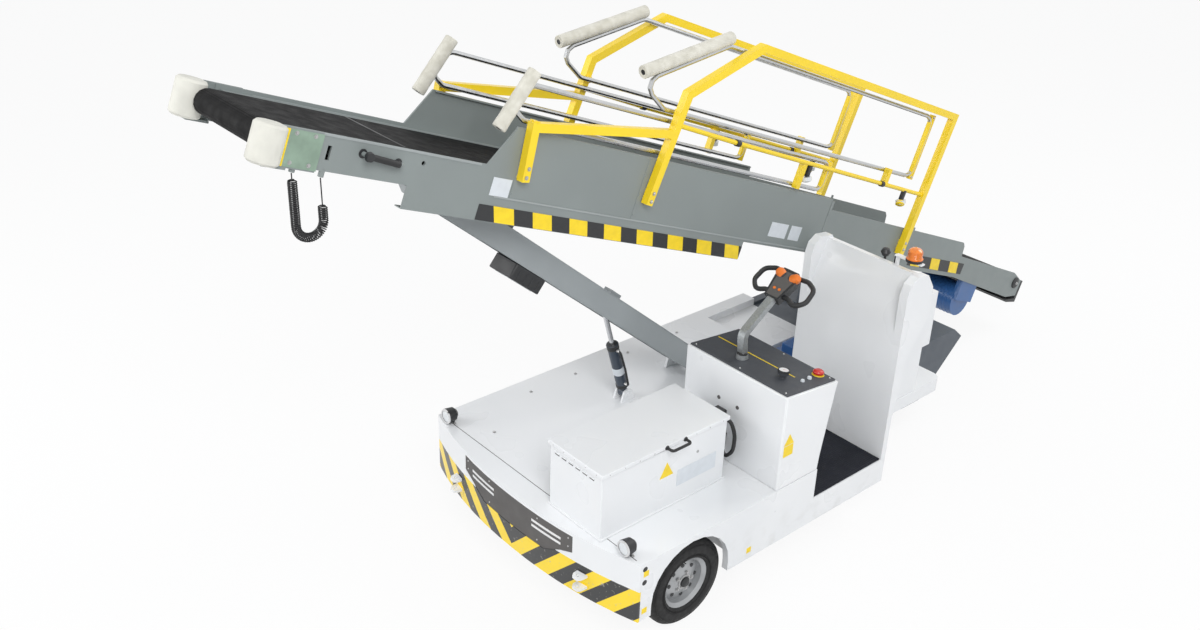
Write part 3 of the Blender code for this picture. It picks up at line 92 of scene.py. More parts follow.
class Paint:
    """A Principled material whose nodes read object coordinates, in metres."""

    def __init__(self, name, roughness, metallic=0.0, coat=0.0, specular=0.5):
        self.material = bpy.data.materials.new(name)
        self.material.use_nodes = True
        self.tree = self.material.node_tree
        self.shader = self.tree.nodes["Principled BSDF"]
        self.shader.inputs["Roughness"].default_value = roughness
        self.shader.inputs["Metallic"].default_value = metallic
        self.shader.inputs["Coat Weight"].default_value = coat
        self.shader.inputs["Coat Roughness"].default_value = 0.12
        self.shader.inputs["Specular IOR Level"].default_value = specular
        self.place = self.tree.nodes.new("ShaderNodeTexCoord").outputs["Object"]

    def link(self, source, target):
        self.tree.links.new(source, target)

    def maths(self, operation, first, second=0.0):
        node = self.tree.nodes.new("ShaderNodeMath")
        node.operation = operation
        for socket, value in zip(node.inputs, (first, second)):
            if isinstance(value, (int, float)):
                socket.default_value = value
            else:
                self.link(value, socket)
        return node.outputs[0]

    def noise(self, scale, detail=4.0, stretch=(1, 1, 1)):
        spread = self.tree.nodes.new("ShaderNodeMapping")
        spread.inputs["Scale"].default_value = stretch
        self.link(self.place, spread.inputs["Vector"])
        node = self.tree.nodes.new("ShaderNodeTexNoise")
        node.inputs["Scale"].default_value = scale
        node.inputs["Detail"].default_value = detail
        self.link(spread.outputs[0], node.inputs["Vector"])
        return node.outputs["Fac"]

    def span(self, value, low, high, to_low, to_high):
        node = self.tree.nodes.new("ShaderNodeMapRange")
        for socket, number in zip(node.inputs[1:5], (low, high, to_low, to_high)):
            socket.default_value = number
        self.link(value, node.inputs["Value"])
        return node.outputs[0]

    def mix(self, share, first, second):
        node = self.tree.nodes.new("ShaderNodeMix")
        node.data_type = "RGBA"
        self.link(share, node.inputs[0])
        for socket, value in ((node.inputs[6], first), (node.inputs[7], second)):
            if isinstance(value, tuple):
                socket.default_value = (*value, 1)
            else:
                self.link(value, socket)
        return node.outputs[2]

    def axes(self):
        node = self.tree.nodes.new("ShaderNodeSeparateXYZ")
        self.link(self.place, node.inputs[0])
        return node.outputs

    def colour(self, value):
        self.link(value, self.shader.inputs["Base Color"])

    def rough(self, value, low, high):
        self.link(self.span(value, 0.3, 0.7, low, high), self.shader.inputs["Roughness"])

    def bump(self, height, strength, distance):
        node = self.tree.nodes.new("ShaderNodeBump")
        node.inputs["Strength"].default_value = strength
        node.inputs["Distance"].default_value = distance
        self.link(height, node.inputs["Height"])
        self.link(node.outputs[0], self.shader.inputs["Normal"])


def darker(colour, share):
    return tuple(c * share for c in colour)


def finish(
    name, colour, roughness, metallic=0.0, coat=0.0, grain=300, grain_depth=0.0001, mottle=0.94, scale=2.5
):
    """Paint or plastic: a slow change of tone, dull patches and a fine grain."""
    paint = Paint(name, roughness, metallic, coat)
    slow = paint.noise(scale)
    paint.colour(paint.mix(paint.span(slow, 0.35, 0.65, 0, 1), darker(colour, mottle), colour))
    paint.rough(paint.noise(scale * 4), roughness * 0.85, min(1, roughness * 1.2))
    paint.bump(paint.noise(grain, 2), 0.25, grain_depth)
    return paint.material


WHITE_TONES = ((0.79, 0.805, 0.82), (0.84, 0.85, 0.86))


def white_tone(paint):
    return paint.mix(paint.span(paint.noise(1.3, 2), 0.3, 0.7, 0, 1), *WHITE_TONES)


def body_white():
    """Gloss white with road dust near the ground and orange-peel."""
    paint = Paint("body_white", 0.3, coat=0.4)
    height = paint.axes()["Z"]
    tone = white_tone(paint)
    dust = paint.maths(
        "MULTIPLY", paint.span(height, 0.25, 0.62, 1, 0), paint.span(paint.noise(9), 0.5, 0.8, 0, 0.4)
    )
    paint.colour(paint.mix(dust, tone, (0.50, 0.49, 0.46)))
    paint.rough(paint.noise(3, 2), 0.26, 0.34)
    paint.bump(paint.noise(25, 0), 0.04, 0.0002)
    return paint.material


YELLOW = (0.96, 0.69, 0.012)
BLACK = (0.022, 0.023, 0.025)
STRIPE_PITCH = 0.25
STRIPE_SHIFT = 0.313  # puts the yellow chevron's tip at the bottom in the middle
STRIPE_TOP = 0.505
FRONT_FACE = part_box("chassis_body")[1].x
BOW_DEPTH = 0.15  # how far the front's sides lie behind its middle
BOW_POWER = 2.2
BOW_FRONT = FRONT_FACE + 0.012 + BOW_DEPTH  # the middle of the bowed front


def bow_stripes():
    """White above, yellow and black chevrons below, their tips down in the middle."""
    paint = Paint("bow_stripes", 0.35, coat=0.3)
    x, y, z = paint.axes()
    run = paint.maths(
        "ADD", paint.maths("SUBTRACT", paint.maths("ABSOLUTE", y), z), STRIPE_SHIFT + STRIPE_PITCH * 4
    )
    phase = paint.maths("FRACT", paint.maths("DIVIDE", run, STRIPE_PITCH))
    stripe = paint.mix(paint.maths("GREATER_THAN", phase, 0.5), YELLOW, BLACK)
    worn = paint.mix(paint.span(paint.noise(40), 0.62, 0.75, 0, 0.6), stripe, (0.45, 0.43, 0.38))
    white = white_tone(paint)
    # the tow lugs stand out from the bowed face, and are white
    bulge = paint.maths("MULTIPLY", paint.maths("POWER", paint.maths("ABSOLUTE", y), BOW_POWER), BOW_DEPTH)
    proud = paint.maths("SUBTRACT", paint.maths("ADD", x, bulge), BOW_FRONT)
    on_band = paint.maths(
        "MULTIPLY", paint.maths("LESS_THAN", z, STRIPE_TOP), paint.maths("LESS_THAN", proud, 0.004)
    )
    paint.colour(paint.mix(on_band, white, worn))
    paint.rough(paint.noise(3, 2), 0.28, 0.38)
    paint.bump(paint.noise(25, 0), 0.04, 0.0002)
    return paint.material


def ribbed(name, colour, axis, pitch, roughness, depth):
    """Rubber with fine ribs square to an axis, given as its share of x, y and z."""
    paint = Paint(name, roughness, specular=0.15)
    x, y, z = paint.axes()
    run = paint.maths("ADD", paint.maths("MULTIPLY", x, axis[0]), paint.maths("MULTIPLY", y, axis[1]))
    run = paint.maths("ADD", run, paint.maths("MULTIPLY", z, axis[2]))
    wave = paint.maths("SINE", paint.maths("MULTIPLY", run, math.tau / pitch))
    paint.colour(paint.mix(paint.span(paint.noise(3), 0.35, 0.65, 0, 1), darker(colour, 0.7), colour))
    paint.rough(paint.noise(14), roughness * 0.85, min(1, roughness * 1.15))
    paint.bump(wave, 0.5, depth)
    return paint.material


def steel_tube():
    paint = Paint("steel_tube", 0.3, metallic=1.0)
    paint.colour(paint.mix(paint.noise(5), (0.48, 0.49, 0.50), (0.62, 0.63, 0.64)))
    paint.rough(paint.noise(30), 0.2, 0.42)
    paint.bump(paint.noise(700, 2, (0.1, 1, 1)), 0.15, 0.0002)
    return paint.material


def galvanised(name, low, high):
    """Spangled zinc: cells of slightly different greys."""
    paint = Paint(name, 0.42, metallic=0.75)
    cells = paint.tree.nodes.new("ShaderNodeTexVoronoi")
    cells.inputs["Scale"].default_value = 90
    paint.link(paint.place, cells.inputs["Vector"])
    paint.colour(paint.mix(paint.span(cells.outputs["Distance"], 0, 1, 0, 1), low, high))
    paint.rough(paint.noise(40), 0.35, 0.55)
    paint.bump(paint.noise(250), 0.2, 0.0003)
    return paint.material


def foam_cream():
    paint = Paint("foam_cream", 0.85, specular=0.25)
    paint.shader.inputs["Sheen Weight"].default_value = 0.2
    paint.colour(
        paint.mix(paint.span(paint.noise(14), 0.35, 0.65, 0, 1), (0.60, 0.58, 0.50), (0.74, 0.72, 0.64))
    )
    paint.bump(paint.noise(420, 5), 0.6, 0.0012)
    return paint.material


PANEL = (0.245, 0.275, 0.27)
WHITE = body_white()
STRIPED = bow_stripes()
MOLDED = finish("grey_molded", (0.10, 0.095, 0.092), 0.6, grain=500)
DARK = finish("black_molded", BLACK, 0.45, grain=600)
CONSOLE = finish("console_top", (0.055, 0.060, 0.070), 0.5, grain=900, grain_depth=0.0006)
GREY = finish("conveyor_grey", PANEL, 0.48, grain=260)
PALE_GREY = finish("conveyor_edge", (0.34, 0.37, 0.37), 0.45)
GREEN = finish("green_primer", (0.26, 0.36, 0.28), 0.5, mottle=0.8, scale=12)
CHASSIS = finish("chassis_grey", (0.085, 0.10, 0.12), 0.5)
ARM = finish("arm_grey", (0.36, 0.39, 0.40), 0.42, mottle=0.9)
RAIL_YELLOW = finish("rail_yellow", YELLOW, 0.36, coat=0.2, mottle=0.95, grain=60, grain_depth=0.00005)
TAPE_YELLOW = finish("tape_yellow", (0.97, 0.70, 0.015), 0.4, mottle=0.9, scale=20)
TAPE_BLACK = finish("tape_black", BLACK, 0.4, scale=20)
LABEL_WHITE = finish("label_white", (0.70, 0.74, 0.78), 0.4, scale=20)
SLOT_WHITE = finish("slot_white", (0.80, 0.80, 0.80), 0.35)
RED = finish("stop_red", (0.62, 0.02, 0.015), 0.3, coat=0.4)
AMBER = finish("amber_lens", (0.93, 0.24, 0.015), 0.15, coat=0.6, mottle=0.8, scale=40)
ORANGE = finish("orange_molded", (0.85, 0.20, 0.02), 0.35, coat=0.2)
BLUE = finish("unit_blue", (0.035, 0.13, 0.36), 0.38, coat=0.2, mottle=0.85)
RUBBER = finish("black_rubber", (0.018, 0.018, 0.019), 0.6, grain=900)
TYRE = finish("tyre_rubber", (0.010, 0.010, 0.0105), 0.7, grain=220, grain_depth=0.001, mottle=0.75, scale=8)
RIM = finish("rim_paint", (0.42, 0.43, 0.44), 0.38, metallic=0.5, mottle=0.85, scale=10)
BOLT = finish("bolt_zinc", (0.50, 0.50, 0.50), 0.35, metallic=0.9, scale=60)
CREAM = finish("bumper_cream", (0.74, 0.73, 0.66), 0.6, grain=150, grain_depth=0.001, mottle=0.88, scale=9)
CYLINDER = finish("cylinder_dark", (0.030, 0.045, 0.070), 0.3, coat=0.4)
CHROME = finish("chrome_rod", (0.75, 0.75, 0.76), 0.12, metallic=1.0)
LENS = finish("lens_glass", (0.72, 0.75, 0.77), 0.08, coat=1.0, scale=60)
STEEL = steel_tube()
ZINC = galvanised("galvanised", (0.30, 0.32, 0.33), (0.44, 0.46, 0.47))
FOAM = foam_cream()
BELT = ribbed("belt_rubber", (0.006, 0.006, 0.0065), (ALONG.x, 0, ALONG.z), 0.012, 0.7, 0.0012)
MAT = ribbed("mat_rubber", (0.022, 0.024, 0.032), (0, 1, 0), 0.016, 0.65, 0.002)

NODE_PAINT = {
    "battery_box battery_lid console backrest rear_cabinet chassis_body": WHITE,
    "front_bumper": STRIPED,
    "grille": MOLDED,
    "headlight_left headlight_right arm_lamp battery_plug lever tiller_head rear_guard": DARK,
    "console_panel": CONSOLE,
    "operator_mat": MAT,
    "beacon": AMBER,
    "rear_frame front_axle rear_axle drive_motor knuckle_left knuckle_right battery_pack": CHASSIS,
    "hydraulic_unit belt_motor": BLUE,
    "side_frame_left side_frame_right belt_bed": GREY,
    "belt": BELT,
    "front_roller rear_roller": STEEL,
    "bumper_left bumper_right": CREAM,
    "handrail_left handrail_right": RAIL_YELLOW,
    "lift_arm": ARM,
    "cylinder_barrel": CYLINDER,
    "cylinder_rod": CHROME,
    "cylinder_hose curly_cord battery_cable": RUBBER,
    "tiller_arm": ZINC,
}
for side in ("left", "right"):
    NODE_PAINT[f"upper_slide_rail_{side} lower_slide_rail_{side}"] = STEEL
    for end in ("front", "rear"):
        NODE_PAINT[f"tyre_{end}_{side}"] = TYRE
        NODE_PAINT[f"rim_{end}_{side}"] = RIM


def smoothing():
    """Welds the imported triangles, then shades soft edges smooth and keeps sharp ones."""
    group = bpy.data.node_groups.new("weld_and_smooth", "GeometryNodeTree")
    group.interface.new_socket("Geometry", in_out="INPUT", socket_type="NodeSocketGeometry")
    group.interface.new_socket("Geometry", in_out="OUTPUT", socket_type="NodeSocketGeometry")
    steps = [
        group.nodes.new(kind)
        for kind in (
            "NodeGroupInput",
            "GeometryNodeRemoveAttribute",
            "GeometryNodeMergeByDistance",
            "GeometryNodeSetShadeSmooth",
            "GeometryNodeSetShadeSmooth",
            "NodeGroupOutput",
        )
    ]
    for before, after in zip(steps, steps[1:]):
        group.links.new(before.outputs[0], after.inputs[0])
    steps[1].inputs["Name"].default_value = "custom_normal"
    steps[2].inputs["Distance"].default_value = 0.00002
    steps[4].domain = "EDGE"
    angle = group.nodes.new("GeometryNodeInputMeshEdgeAngle")
    soft = group.nodes.new("FunctionNodeCompare")
    soft.operation = "LESS_THAN"
    soft.inputs["B"].default_value = math.radians(36)
    group.links.new(angle.outputs["Unsigned Angle"], soft.inputs["A"])
    group.links.new(soft.outputs[0], steps[4].inputs["Shade Smooth"])
    return group


SMOOTH = smoothing()
ROUNDED_EDGES = {  # how far the edges of plain nodes are rounded
    "battery_box": 0.006,
    "battery_lid": 0.006,
    "console": 0.012,
    "console_panel": 0.002,
    "rear_cabinet": 0.010,
    "battery_pack": 0.006,
    "battery_plug": 0.006,
    "hydraulic_unit": 0.008,
    "arm_lamp": 0.012,
    "operator_mat": 0.003,
    "drive_motor": 0.01,
}

for names, material in NODE_PAINT.items():
    for name in names.split():
        node = nodes[name]
        node.data.materials.clear()
        node.data.materials.append(material)
        node.modifiers.new("smooth", "NODES").node_group = SMOOTH
        if name in ROUNDED_EDGES:
            bevel = node.modifiers.new("edges", "BEVEL")
            bevel.width = ROUNDED_EDGES[name]
            bevel.segments = 3
            bevel.limit_method = "ANGLE"
            bevel.angle_limit = math.radians(40)

# ---------------------------------------------------------------- piece builders

count = {}


def add(name, mesh, material, body, place=None):
    """Links a mesh as a numbered piece that rides on a body."""
    count[name] = count.get(name, 0) + 1
    piece = bpy.data.objects.new(f"{name}_{count[name]}", mesh)
    scene.collection.objects.link(piece)
    if place is not None:
        piece.matrix_world = place
    mesh.materials.append(material)
    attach(piece, body)
    return piece


def block(name, low, high, material, body, place=None, edge=0.002):
    """A box from corner to corner with rounded edges."""
    low, high = Vector(low), Vector(high)
    bm = bmesh.new()
    bmesh.ops.create_cube(bm, size=1)
    for v in bm.verts:
        v.co = Vector(((v.co[i] + 0.5) * (high[i] - low[i]) + low[i]) for i in range(3))
    width = min(edge, 0.45 * min(abs(high[i] - low[i]) for i in range(3)))
    bmesh.ops.bevel(bm, geom=bm.edges[:], offset=width, segments=2, affect="EDGES", profile=0.5)
    return add(name, meshed(name, bm), material, body, place)


def meshed(name, bm, smooth=True):
    bmesh.ops.recalc_face_normals(bm, faces=bm.faces)
    mesh = bpy.data.meshes.new(name)
    bm.to_mesh(mesh)
    bm.free()
    if smooth:
        mesh.shade_smooth()
        mesh.set_sharp_from_angle(angle=math.radians(40))
    return mesh


def plate(name, outline, depth, material, body, place, edge=0.001):
    """A flat outline in the place's x and y, thickened along its z."""
    bm = bmesh.new()
    face = bm.faces.new([bm.verts.new((x, y, 0)) for x, y in outline])
    pushed = bmesh.ops.extrude_face_region(bm, geom=[face])["geom"]
    for v in pushed:
        if isinstance(v, bmesh.types.BMVert):
            v.co.z = depth
    if edge:
        bmesh.ops.bevel(bm, geom=bm.edges[:], offset=min(edge, depth * 0.4), segments=1, affect="EDGES")
    bm.transform(place)  # the place may mirror it
    return add(name, meshed(name, bm, False), material, body)


def turned(name, profile, material, body, centre, direction, steps=32):
    """A profile of (along, radius) turned about a line."""
    bm = bmesh.new()
    spins = []
    for along, radius in profile:
        ring = []
        for k in range(steps):
            t = math.tau * k / steps
            ring.append(bm.verts.new((radius * math.cos(t), radius * math.sin(t), along)))
        spins.append(ring)
    for first, second in zip(spins, spins[1:]):
        for k in range(steps):
            bm.faces.new((first[k], first[(k + 1) % steps], second[(k + 1) % steps], second[k]))
    bmesh.ops.remove_doubles(bm, verts=bm.verts, dist=0.00001)
    turn = Vector(direction).to_track_quat("Z", "Y").to_matrix().to_4x4()
    return add(name, meshed(name, bm), material, body, Matrix.Translation(centre) @ turn)


def stud(name, radius, top_radius, height, material, body, centre, direction, steps=20):
    """A low round piece on a face."""
    profile = [(0, 0), (0, radius), (height, top_radius), (height, 0)]
    return turned(name, profile, material, body, centre, direction, steps)


def tube(name, points, radius, material, body, closed=False, sides=3, round_by=0.0):
    """A round tube through the points, with its corners rounded."""
    points = [Vector(p) for p in points]
    if round_by:
        points = softened(points, round_by)
    curve = bpy.data.curves.new(name, "CURVE")
    curve.dimensions = "3D"
    curve.bevel_depth = radius
    curve.bevel_resolution = sides
    curve.use_fill_caps = True
    spline = curve.splines.new("POLY")
    spline.points.add(len(points) - 1)
    spline.use_cyclic_u = closed
    for point, place in zip(spline.points, points):
        point.co = (*place, 1)
    count[name] = count.get(name, 0) + 1
    piece = bpy.data.objects.new(f"{name}_{count[name]}", curve)
    scene.collection.objects.link(piece)
    curve.materials.append(material)
    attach(piece, body)
    return piece


def softened(points, radius, steps=6):
    """The path with an arc-like curve at each inner corner."""
    out = [points[0]]
    for before, corner, after in zip(points, points[1:], points[2:]):
        reach = min(radius, (corner - before).length * 0.49, (after - corner).length * 0.49)
        start = corner + (before - corner).normalized() * reach
        end = corner + (after - corner).normalized() * reach
        for k in range(steps + 1):
            t = k / steps
            out.append(start * (1 - t) ** 2 + corner * 2 * t * (1 - t) + end * t * t)
    return out + [points[-1]]


def bolt(place, direction, body, size=0.007, material=None):
    """A hexagon head on a washer."""
    material = material or BOLT
    stud("washer", size * 1.5, size * 1.5, size * 0.3, material, body, place, direction, 16)
    turned(
        "bolt", [(0, 0), (0, size), (size * 0.9, size * 0.96), (size * 1.1, size * 0.75), (size * 1.1, 0)],
        material, body, place, direction, 6,
    )


def rivet(place, direction, body, size=0.004, material=None):
    turned(
        "rivet", [(0, 0), (0, size), (size * 0.5, size * 0.7), (size * 0.7, 0)], material or BOLT, body,
        place, direction, 10,
    )


def conveyor_place(s, y, n):
    """A place in the conveyor's axes: s along the belt, y across, n up from the pivot."""
    return Matrix.Translation(
        (PIVOT.x, 0, PIVOT.z)
    ) @ Matrix.Rotation(-SLOPE, 4, "Y") @ Matrix.Translation((s, y, n))


def on_belt(s, y, n):
    return conveyor_place(s, y, n).translation


def side_face(sign, y):
    """Axes of a face that looks left (1) or right (-1): x along the conveyor, y up it, z outward."""
    flat = Matrix(((1, 0, 0, 0), (0, 0, sign, y), (0, 1, 0, 0), (0, 0, 0, 1)))
    return Matrix.Translation((PIVOT.x, 0, PIVOT.z)) @ Matrix.Rotation(-SLOPE, 4, "Y") @ flat


def leaning(middle, low, high, width, lean):
    """A block whose top is moved forward by the lean and its foot back by it."""
    half = width / 2
    return [
        (middle - half - lean, low),
        (middle + half - lean, low),
        (middle + half + lean, high),
        (middle - half + lean, high),
    ]


def left_face(y):
    """Axes of a face that looks left: x to the rear, y up, z outward."""
    return Matrix(((-1, 0, 0, 0), (0, 0, 1, y), (0, 1, 0, 0), (0, 0, 0, 1)))


def square(cx, cy, width, height):
    return [
        (cx - width / 2, cy - height / 2),
        (cx + width / 2, cy - height / 2),
        (cx + width / 2, cy + height / 2),
        (cx - width / 2, cy + height / 2),
    ]


# ---------------------------------------------------------------- curly cord

COIL_R = 0.024
WIRE_R = 0.0034
COIL_PITCH = 0.0092
TURN_POINTS = 12


def curly_cord():
    low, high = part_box("curly_cord")
    y = (low.y + high.y) / 2
    front, rear = high.x - COIL_R, low.x + COIL_R
    half = (front - rear) / 2
    bend = Vector(((front + rear) / 2, y, low.z + COIL_R + half))
    rear_top = high.z - (front - rear) * math.tan(SLOPE)
    down, arc, up = high.z - bend.z, math.pi * half, rear_top - bend.z
    coil_from, coil_to = 0.03, down + arc + up * 0.35
    total = down + arc + up

    def middle(run):
        """The point on the U this far along it, and its sideways direction."""
        if run < down:
            return Vector((front, y, high.z - run)), Vector((1, 0, 0))
        if run < down + arc:
            t = (run - down) / half
            out = Vector((math.cos(t), 0, -math.sin(t)))
            return bend + out * half, out
        return Vector((rear, y, bend.z + run - down - arc)), Vector((-1, 0, 0))

    points = [Vector((front, y, high.z)), Vector((front, y, high.z - coil_from / 2))]
    steps = round((coil_to - coil_from) / COIL_PITCH * TURN_POINTS)
    for k in range(steps + 1):
        run = coil_from + (coil_to - coil_from) * k / steps
        turn = math.tau * k / TURN_POINTS
        grown = min(1, k / TURN_POINTS, (steps - k) / TURN_POINTS)
        centre, out = middle(run)
        radius = (COIL_R - WIRE_R) * grown
        points.append(centre + (out * math.cos(turn) + Vector((0, math.sin(turn), 0))) * radius)
    for k in range(1, 7):
        points.append(middle(coil_to + (total - coil_to) * k / 6)[0])
    cord = tube("cord_coil", points, WIRE_R, RUBBER, "conveyor", sides=1)
    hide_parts("curly_cord")


curly_cord()

# ---------------------------------------------------------------- conveyor

CONV_MID = -0.40
CONV_HALF = 0.40
SIDES = (("left", 1), ("right", -1))


def outer_y(sign, out=0.0):
    return CONV_MID + sign * (CONV_HALF + out)


def conveyor_sides():
    for _, sign in SIDES:
        face = side_face(sign, outer_y(sign, OFF))
        # warning blocks along the channel
        plate("channel_tape", square(3.00, 0.152, 2.26, 0.088), SKIN, TAPE_BLACK, "conveyor", face, 0)
        for k in range(8):
            mid = 1.96 + k * 0.283
            outline = leaning(mid, 0.108, 0.196, 0.144, 0.018)
            plate("channel_block", outline, SKIN * 1.7, TAPE_YELLOW, "conveyor", face, 0)
        # blocks on the rear of the raised panel
        plate("rear_tape", square(-0.62, 0.307, 0.86, 0.092), SKIN, TAPE_BLACK, "conveyor", face, 0)
        for k in range(3):
            outline = leaning(-0.295 - k * 0.30, 0.262, 0.352, 0.135, 0.0125)
            plate("rear_block", outline, SKIN * 1.7, TAPE_YELLOW, "conveyor", face, 0)
        # seams, and the fold under the raised panels
        for s in (3.93, 2.97, 1.05, -0.1):
            plate(
                "seam_cover", square(s, 0.43, 0.030, 0.375 if s > 1.04 else 0.26), 0.0022, GREY, "conveyor",
                face,
            )
            for n in (0.28, 0.40, 0.52):
                rivet(on_belt(s + 0.006, outer_y(sign, 0.0025), n), (0, sign, 0), "conveyor", 0.005, GREY)
        plate("fold_line", square(2.50, 0.246, 3.10, 0.010), 0.003, PALE_GREY, "conveyor", face)
        plate("top_line", square(4.72, 0.402, 1.06, 0.012), 0.003, PALE_GREY, "conveyor", face)
        for k in range(22):
            rivet(
                on_belt(-0.80 + k * 0.225, outer_y(sign, OFF), 0.243), (0, sign, 0), "conveyor", 0.0045, GREY
            )
        # blank labels
        for s, n, width in ((4.02, 0.30, 0.13), (1.55, 0.345, 0.19), (1.36, 0.345, 0.12)):
            plate("blank_label", square(s, n, width, 0.10), SKIN, LABEL_WHITE, "conveyor", face, 0)
        # the bumper's bracket: primer green with a yellow edge
        bracket = side_face(sign, outer_y(sign, 0.0125))
        plate("bracket_skin", square(5.245, 0.312, 0.20, 0.178), SKIN, GREEN, "conveyor", bracket, 0)
        plate(
            "bracket_edge", square(5.335, 0.312, 0.018, 0.178), SKIN * 1.6, TAPE_YELLOW, "conveyor", bracket,
            0,
        )
        for s, n in ((5.19, 0.245), (5.19, 0.385), (5.29, 0.245), (5.29, 0.385)):
            bolt(on_belt(s, outer_y(sign, 0.014), n), (0, sign, 0), "conveyor", 0.007)
        # the bent handle's grip and knob
        y = outer_y(sign, 0.045)
        tube(
            "handle_grip", [on_belt(4.89, y, 0.3435), on_belt(4.72, y, 0.3315)], 0.0165, RUBBER, "conveyor",
            sides=4,
        )
        turned(
            "handle_knob", [(0, 0), (0, 0.020), (0.012, 0.026), (0.030, 0.022), (0.034, 0)], DARK, "conveyor",
            on_belt(4.91, outer_y(sign, 0.045), 0.345), (0, sign, 0), 20,
        )
        for s, n in ((4.91, 0.345), (4.70, 0.330)):
            stud(
                "handle_foot", 0.024, 0.022, 0.004, DARK, "conveyor", on_belt(s, outer_y(sign, OFF), n),
                (0, sign, 0), 20,
            )
        # roller bearing at the rear end
        tail = on_belt(-2.05, outer_y(sign, OFF), 0.270)
        turned(
            "end_bearing", [(0, 0), (0, 0.050), (0.010, 0.048), (0.016, 0.030), (0.016, 0)], DARK, "conveyor",
            tail, (0, sign, 0), 24,
        )
        bolt(tail + Vector((0, sign * 0.016, 0)), (0, sign, 0), "conveyor", 0.010)
        # caps of the corner bumpers
        for n in (0.218, 0.408):
            turn = 1 if n > 0.3 else -1
            stud(
                "bumper_cap", 0.040, 0.038, 0.0012, CREAM, "conveyor", on_belt(5.42, outer_y(sign), n),
                UP * turn, 24,
            )


conveyor_sides()


def belt_details():
    """The belt's lacing and its edge strips."""
    for s in (4.60, 0.90):
        block(
            "belt_lacing", (-0.009, -0.285, 0), (0.009, 0.285, 0.0015), DARK, "conveyor",
            conveyor_place(s, CONV_MID, 0.3925), 0.0007,
        )
    for _, sign in SIDES:
        strip = CONV_MID + sign * 0.385
        block(
            "belt_guard", (0, -0.003, 0), (5.0, 0.003, 0.004), PALE_GREY, "conveyor",
            conveyor_place(0.1, strip - sign * 0.006, 0.386), 0.001,
        )


belt_details()


def handrails():
    for _, sign in SIDES:
        y = outer_y(sign, 0.030)
        # bolts of the foot plates
        for s, n in ((3.915, 0.42), (2.915, 0.42), (0.03, 0.42)):
            for dn in (-0.035, 0.015):
                bolt(on_belt(s, outer_y(sign, 0.0555), n + dn), (0, sign, 0), "conveyor", 0.008)
        # clamps on the rails
        for s in (2.3, 0.6):
            turned(
                "tube_clamp", [(-0.018, 0), (-0.018, 0.021), (0.018, 0.021), (0.018, 0)], DARK, "conveyor",
                on_belt(s, y, 0.82 if s < 1 else 0.84), ALONG, 20,
            )
        for s in (0.28, 1.50):
            turned(
                "clamp_cap", [(-0.004, 0), (-0.004, 0.036), (0.022, 0.038), (0.030, 0.026), (0.030, 0)], LENS,
                "conveyor", on_belt(s, y, 0.738), (0, sign * 0.2, -1), 20,
            )
            block(
                "clamp_body", (-0.016, -0.014, 0), (0.016, 0.014, 0.075), DARK, "conveyor",
                conveyor_place(s, y, 0.742), 0.003,
            )


handrails()


def slide_rails():
    """Cream foam on the sliding rails' front ends, yellow rear struts."""
    for side, sign in SIDES:
        y = CONV_MID + sign * 0.375
        for body, ends in (
            (f"upper_slide_{side}", ((3.235, 1.085), (2.61, 1.425))),
            (f"lower_slide_{side}", ((4.13, 0.60), (4.005, 0.93))),
        ):
            start, end = (on_belt(s, y, n) for s, n in ends)
            length = (end - start).length
            rings = 14
            profile = [(-0.0012, 0.012), (-0.0012, 0.0375), (0.003, 0.0395)]
            for k in range(1, rings):
                profile.append((length * k / rings, 0.0392 + 0.0006 * math.sin(k * 1.9)))
            profile += [(length - 0.003, 0.0395), (length + 0.0012, 0.0375), (length + 0.0012, 0.012)]
            pad = turned("foam_pad", profile, FOAM, body, start, end - start, 28)
            # dark discs at both ends of the pad: painted shade in the foam's holes round the rail
            for place, way in ((start, start - end), (end, end - start)):
                stud("pad_hole_shade", 0.016, 0.016, 0.0018, DARK, body, place, way, 20)
        for body, s, low, high in (
            (f"upper_slide_{side}", 0.185, 0.90, 1.393), (f"lower_slide_{side}", 1.225, 0.655, 0.875)
        ):
            block(
                "yellow_strut", (-0.024, -0.0138, low), (0.024, 0.0138, high), RAIL_YELLOW, body,
                conveyor_place(s, y, 0), 0.003,
            )
        for s, n in ((0.185, 0.918), (0.185, 1.375)):
            bolt(on_belt(s, y + sign * 0.0135, n), (0, sign, 0), f"upper_slide_{side}", 0.007)


slide_rails()

# ---------------------------------------------------------------- chassis

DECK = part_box("front_bumper")[1].z


def bow_x(y):
    """The bowed front's face."""
    return BOW_FRONT - BOW_DEPTH * abs(y) ** BOW_POWER


def bowed_strip(name, y0, y1, z0, z1, out, material):
    """A thin strip that follows the bowed front."""
    bm = bmesh.new()
    rows = 12
    columns = []
    for k in range(rows + 1):
        y = y0 + (y1 - y0) * k / rows
        columns.append(
            [
                bm.verts.new((bow_x(y) + d, y, z))
                for d, z in ((out, z0), (out, z1), (out - 0.004, z1), (out - 0.004, z0))
            ]
        )
    for first, second in zip(columns, columns[1:]):
        for k in range(4):
            bm.faces.new((first[k], first[(k + 1) % 4], second[(k + 1) % 4], second[k]))
    bm.faces.new(columns[0])
    bm.faces.new(columns[-1])
    return add(name, meshed(name, bm), material, "chassis")


def bow():
    for sign in (-1, 1):
        for z in (0.570, 0.608):
            bowed_strip("grille_slot", sign * 0.19, sign * 0.44, z - 0.008, z + 0.008, -0.0015, SLOT_WHITE)
        for y, z in ((0.50, 0.645), (0.50, 0.585), (0.24, 0.645), (0.24, 0.485)):
            rivet(Vector((bow_x(y) - 0.003, sign * y, z)), (1, 0, 0), "chassis", 0.006)
        # small blank yellow marks by the tow lugs and on the flanks
        near, far = sorted((sign * 0.9995, sign * 1.0008))
        for x, z in ((1.90, 0.60), (1.90, 0.33), (1.02, 0.33)):
            block("blank_mark", (x, near, z), (x + 0.04, far, z + 0.04), TAPE_YELLOW, "chassis", edge=0.0003)


bow()


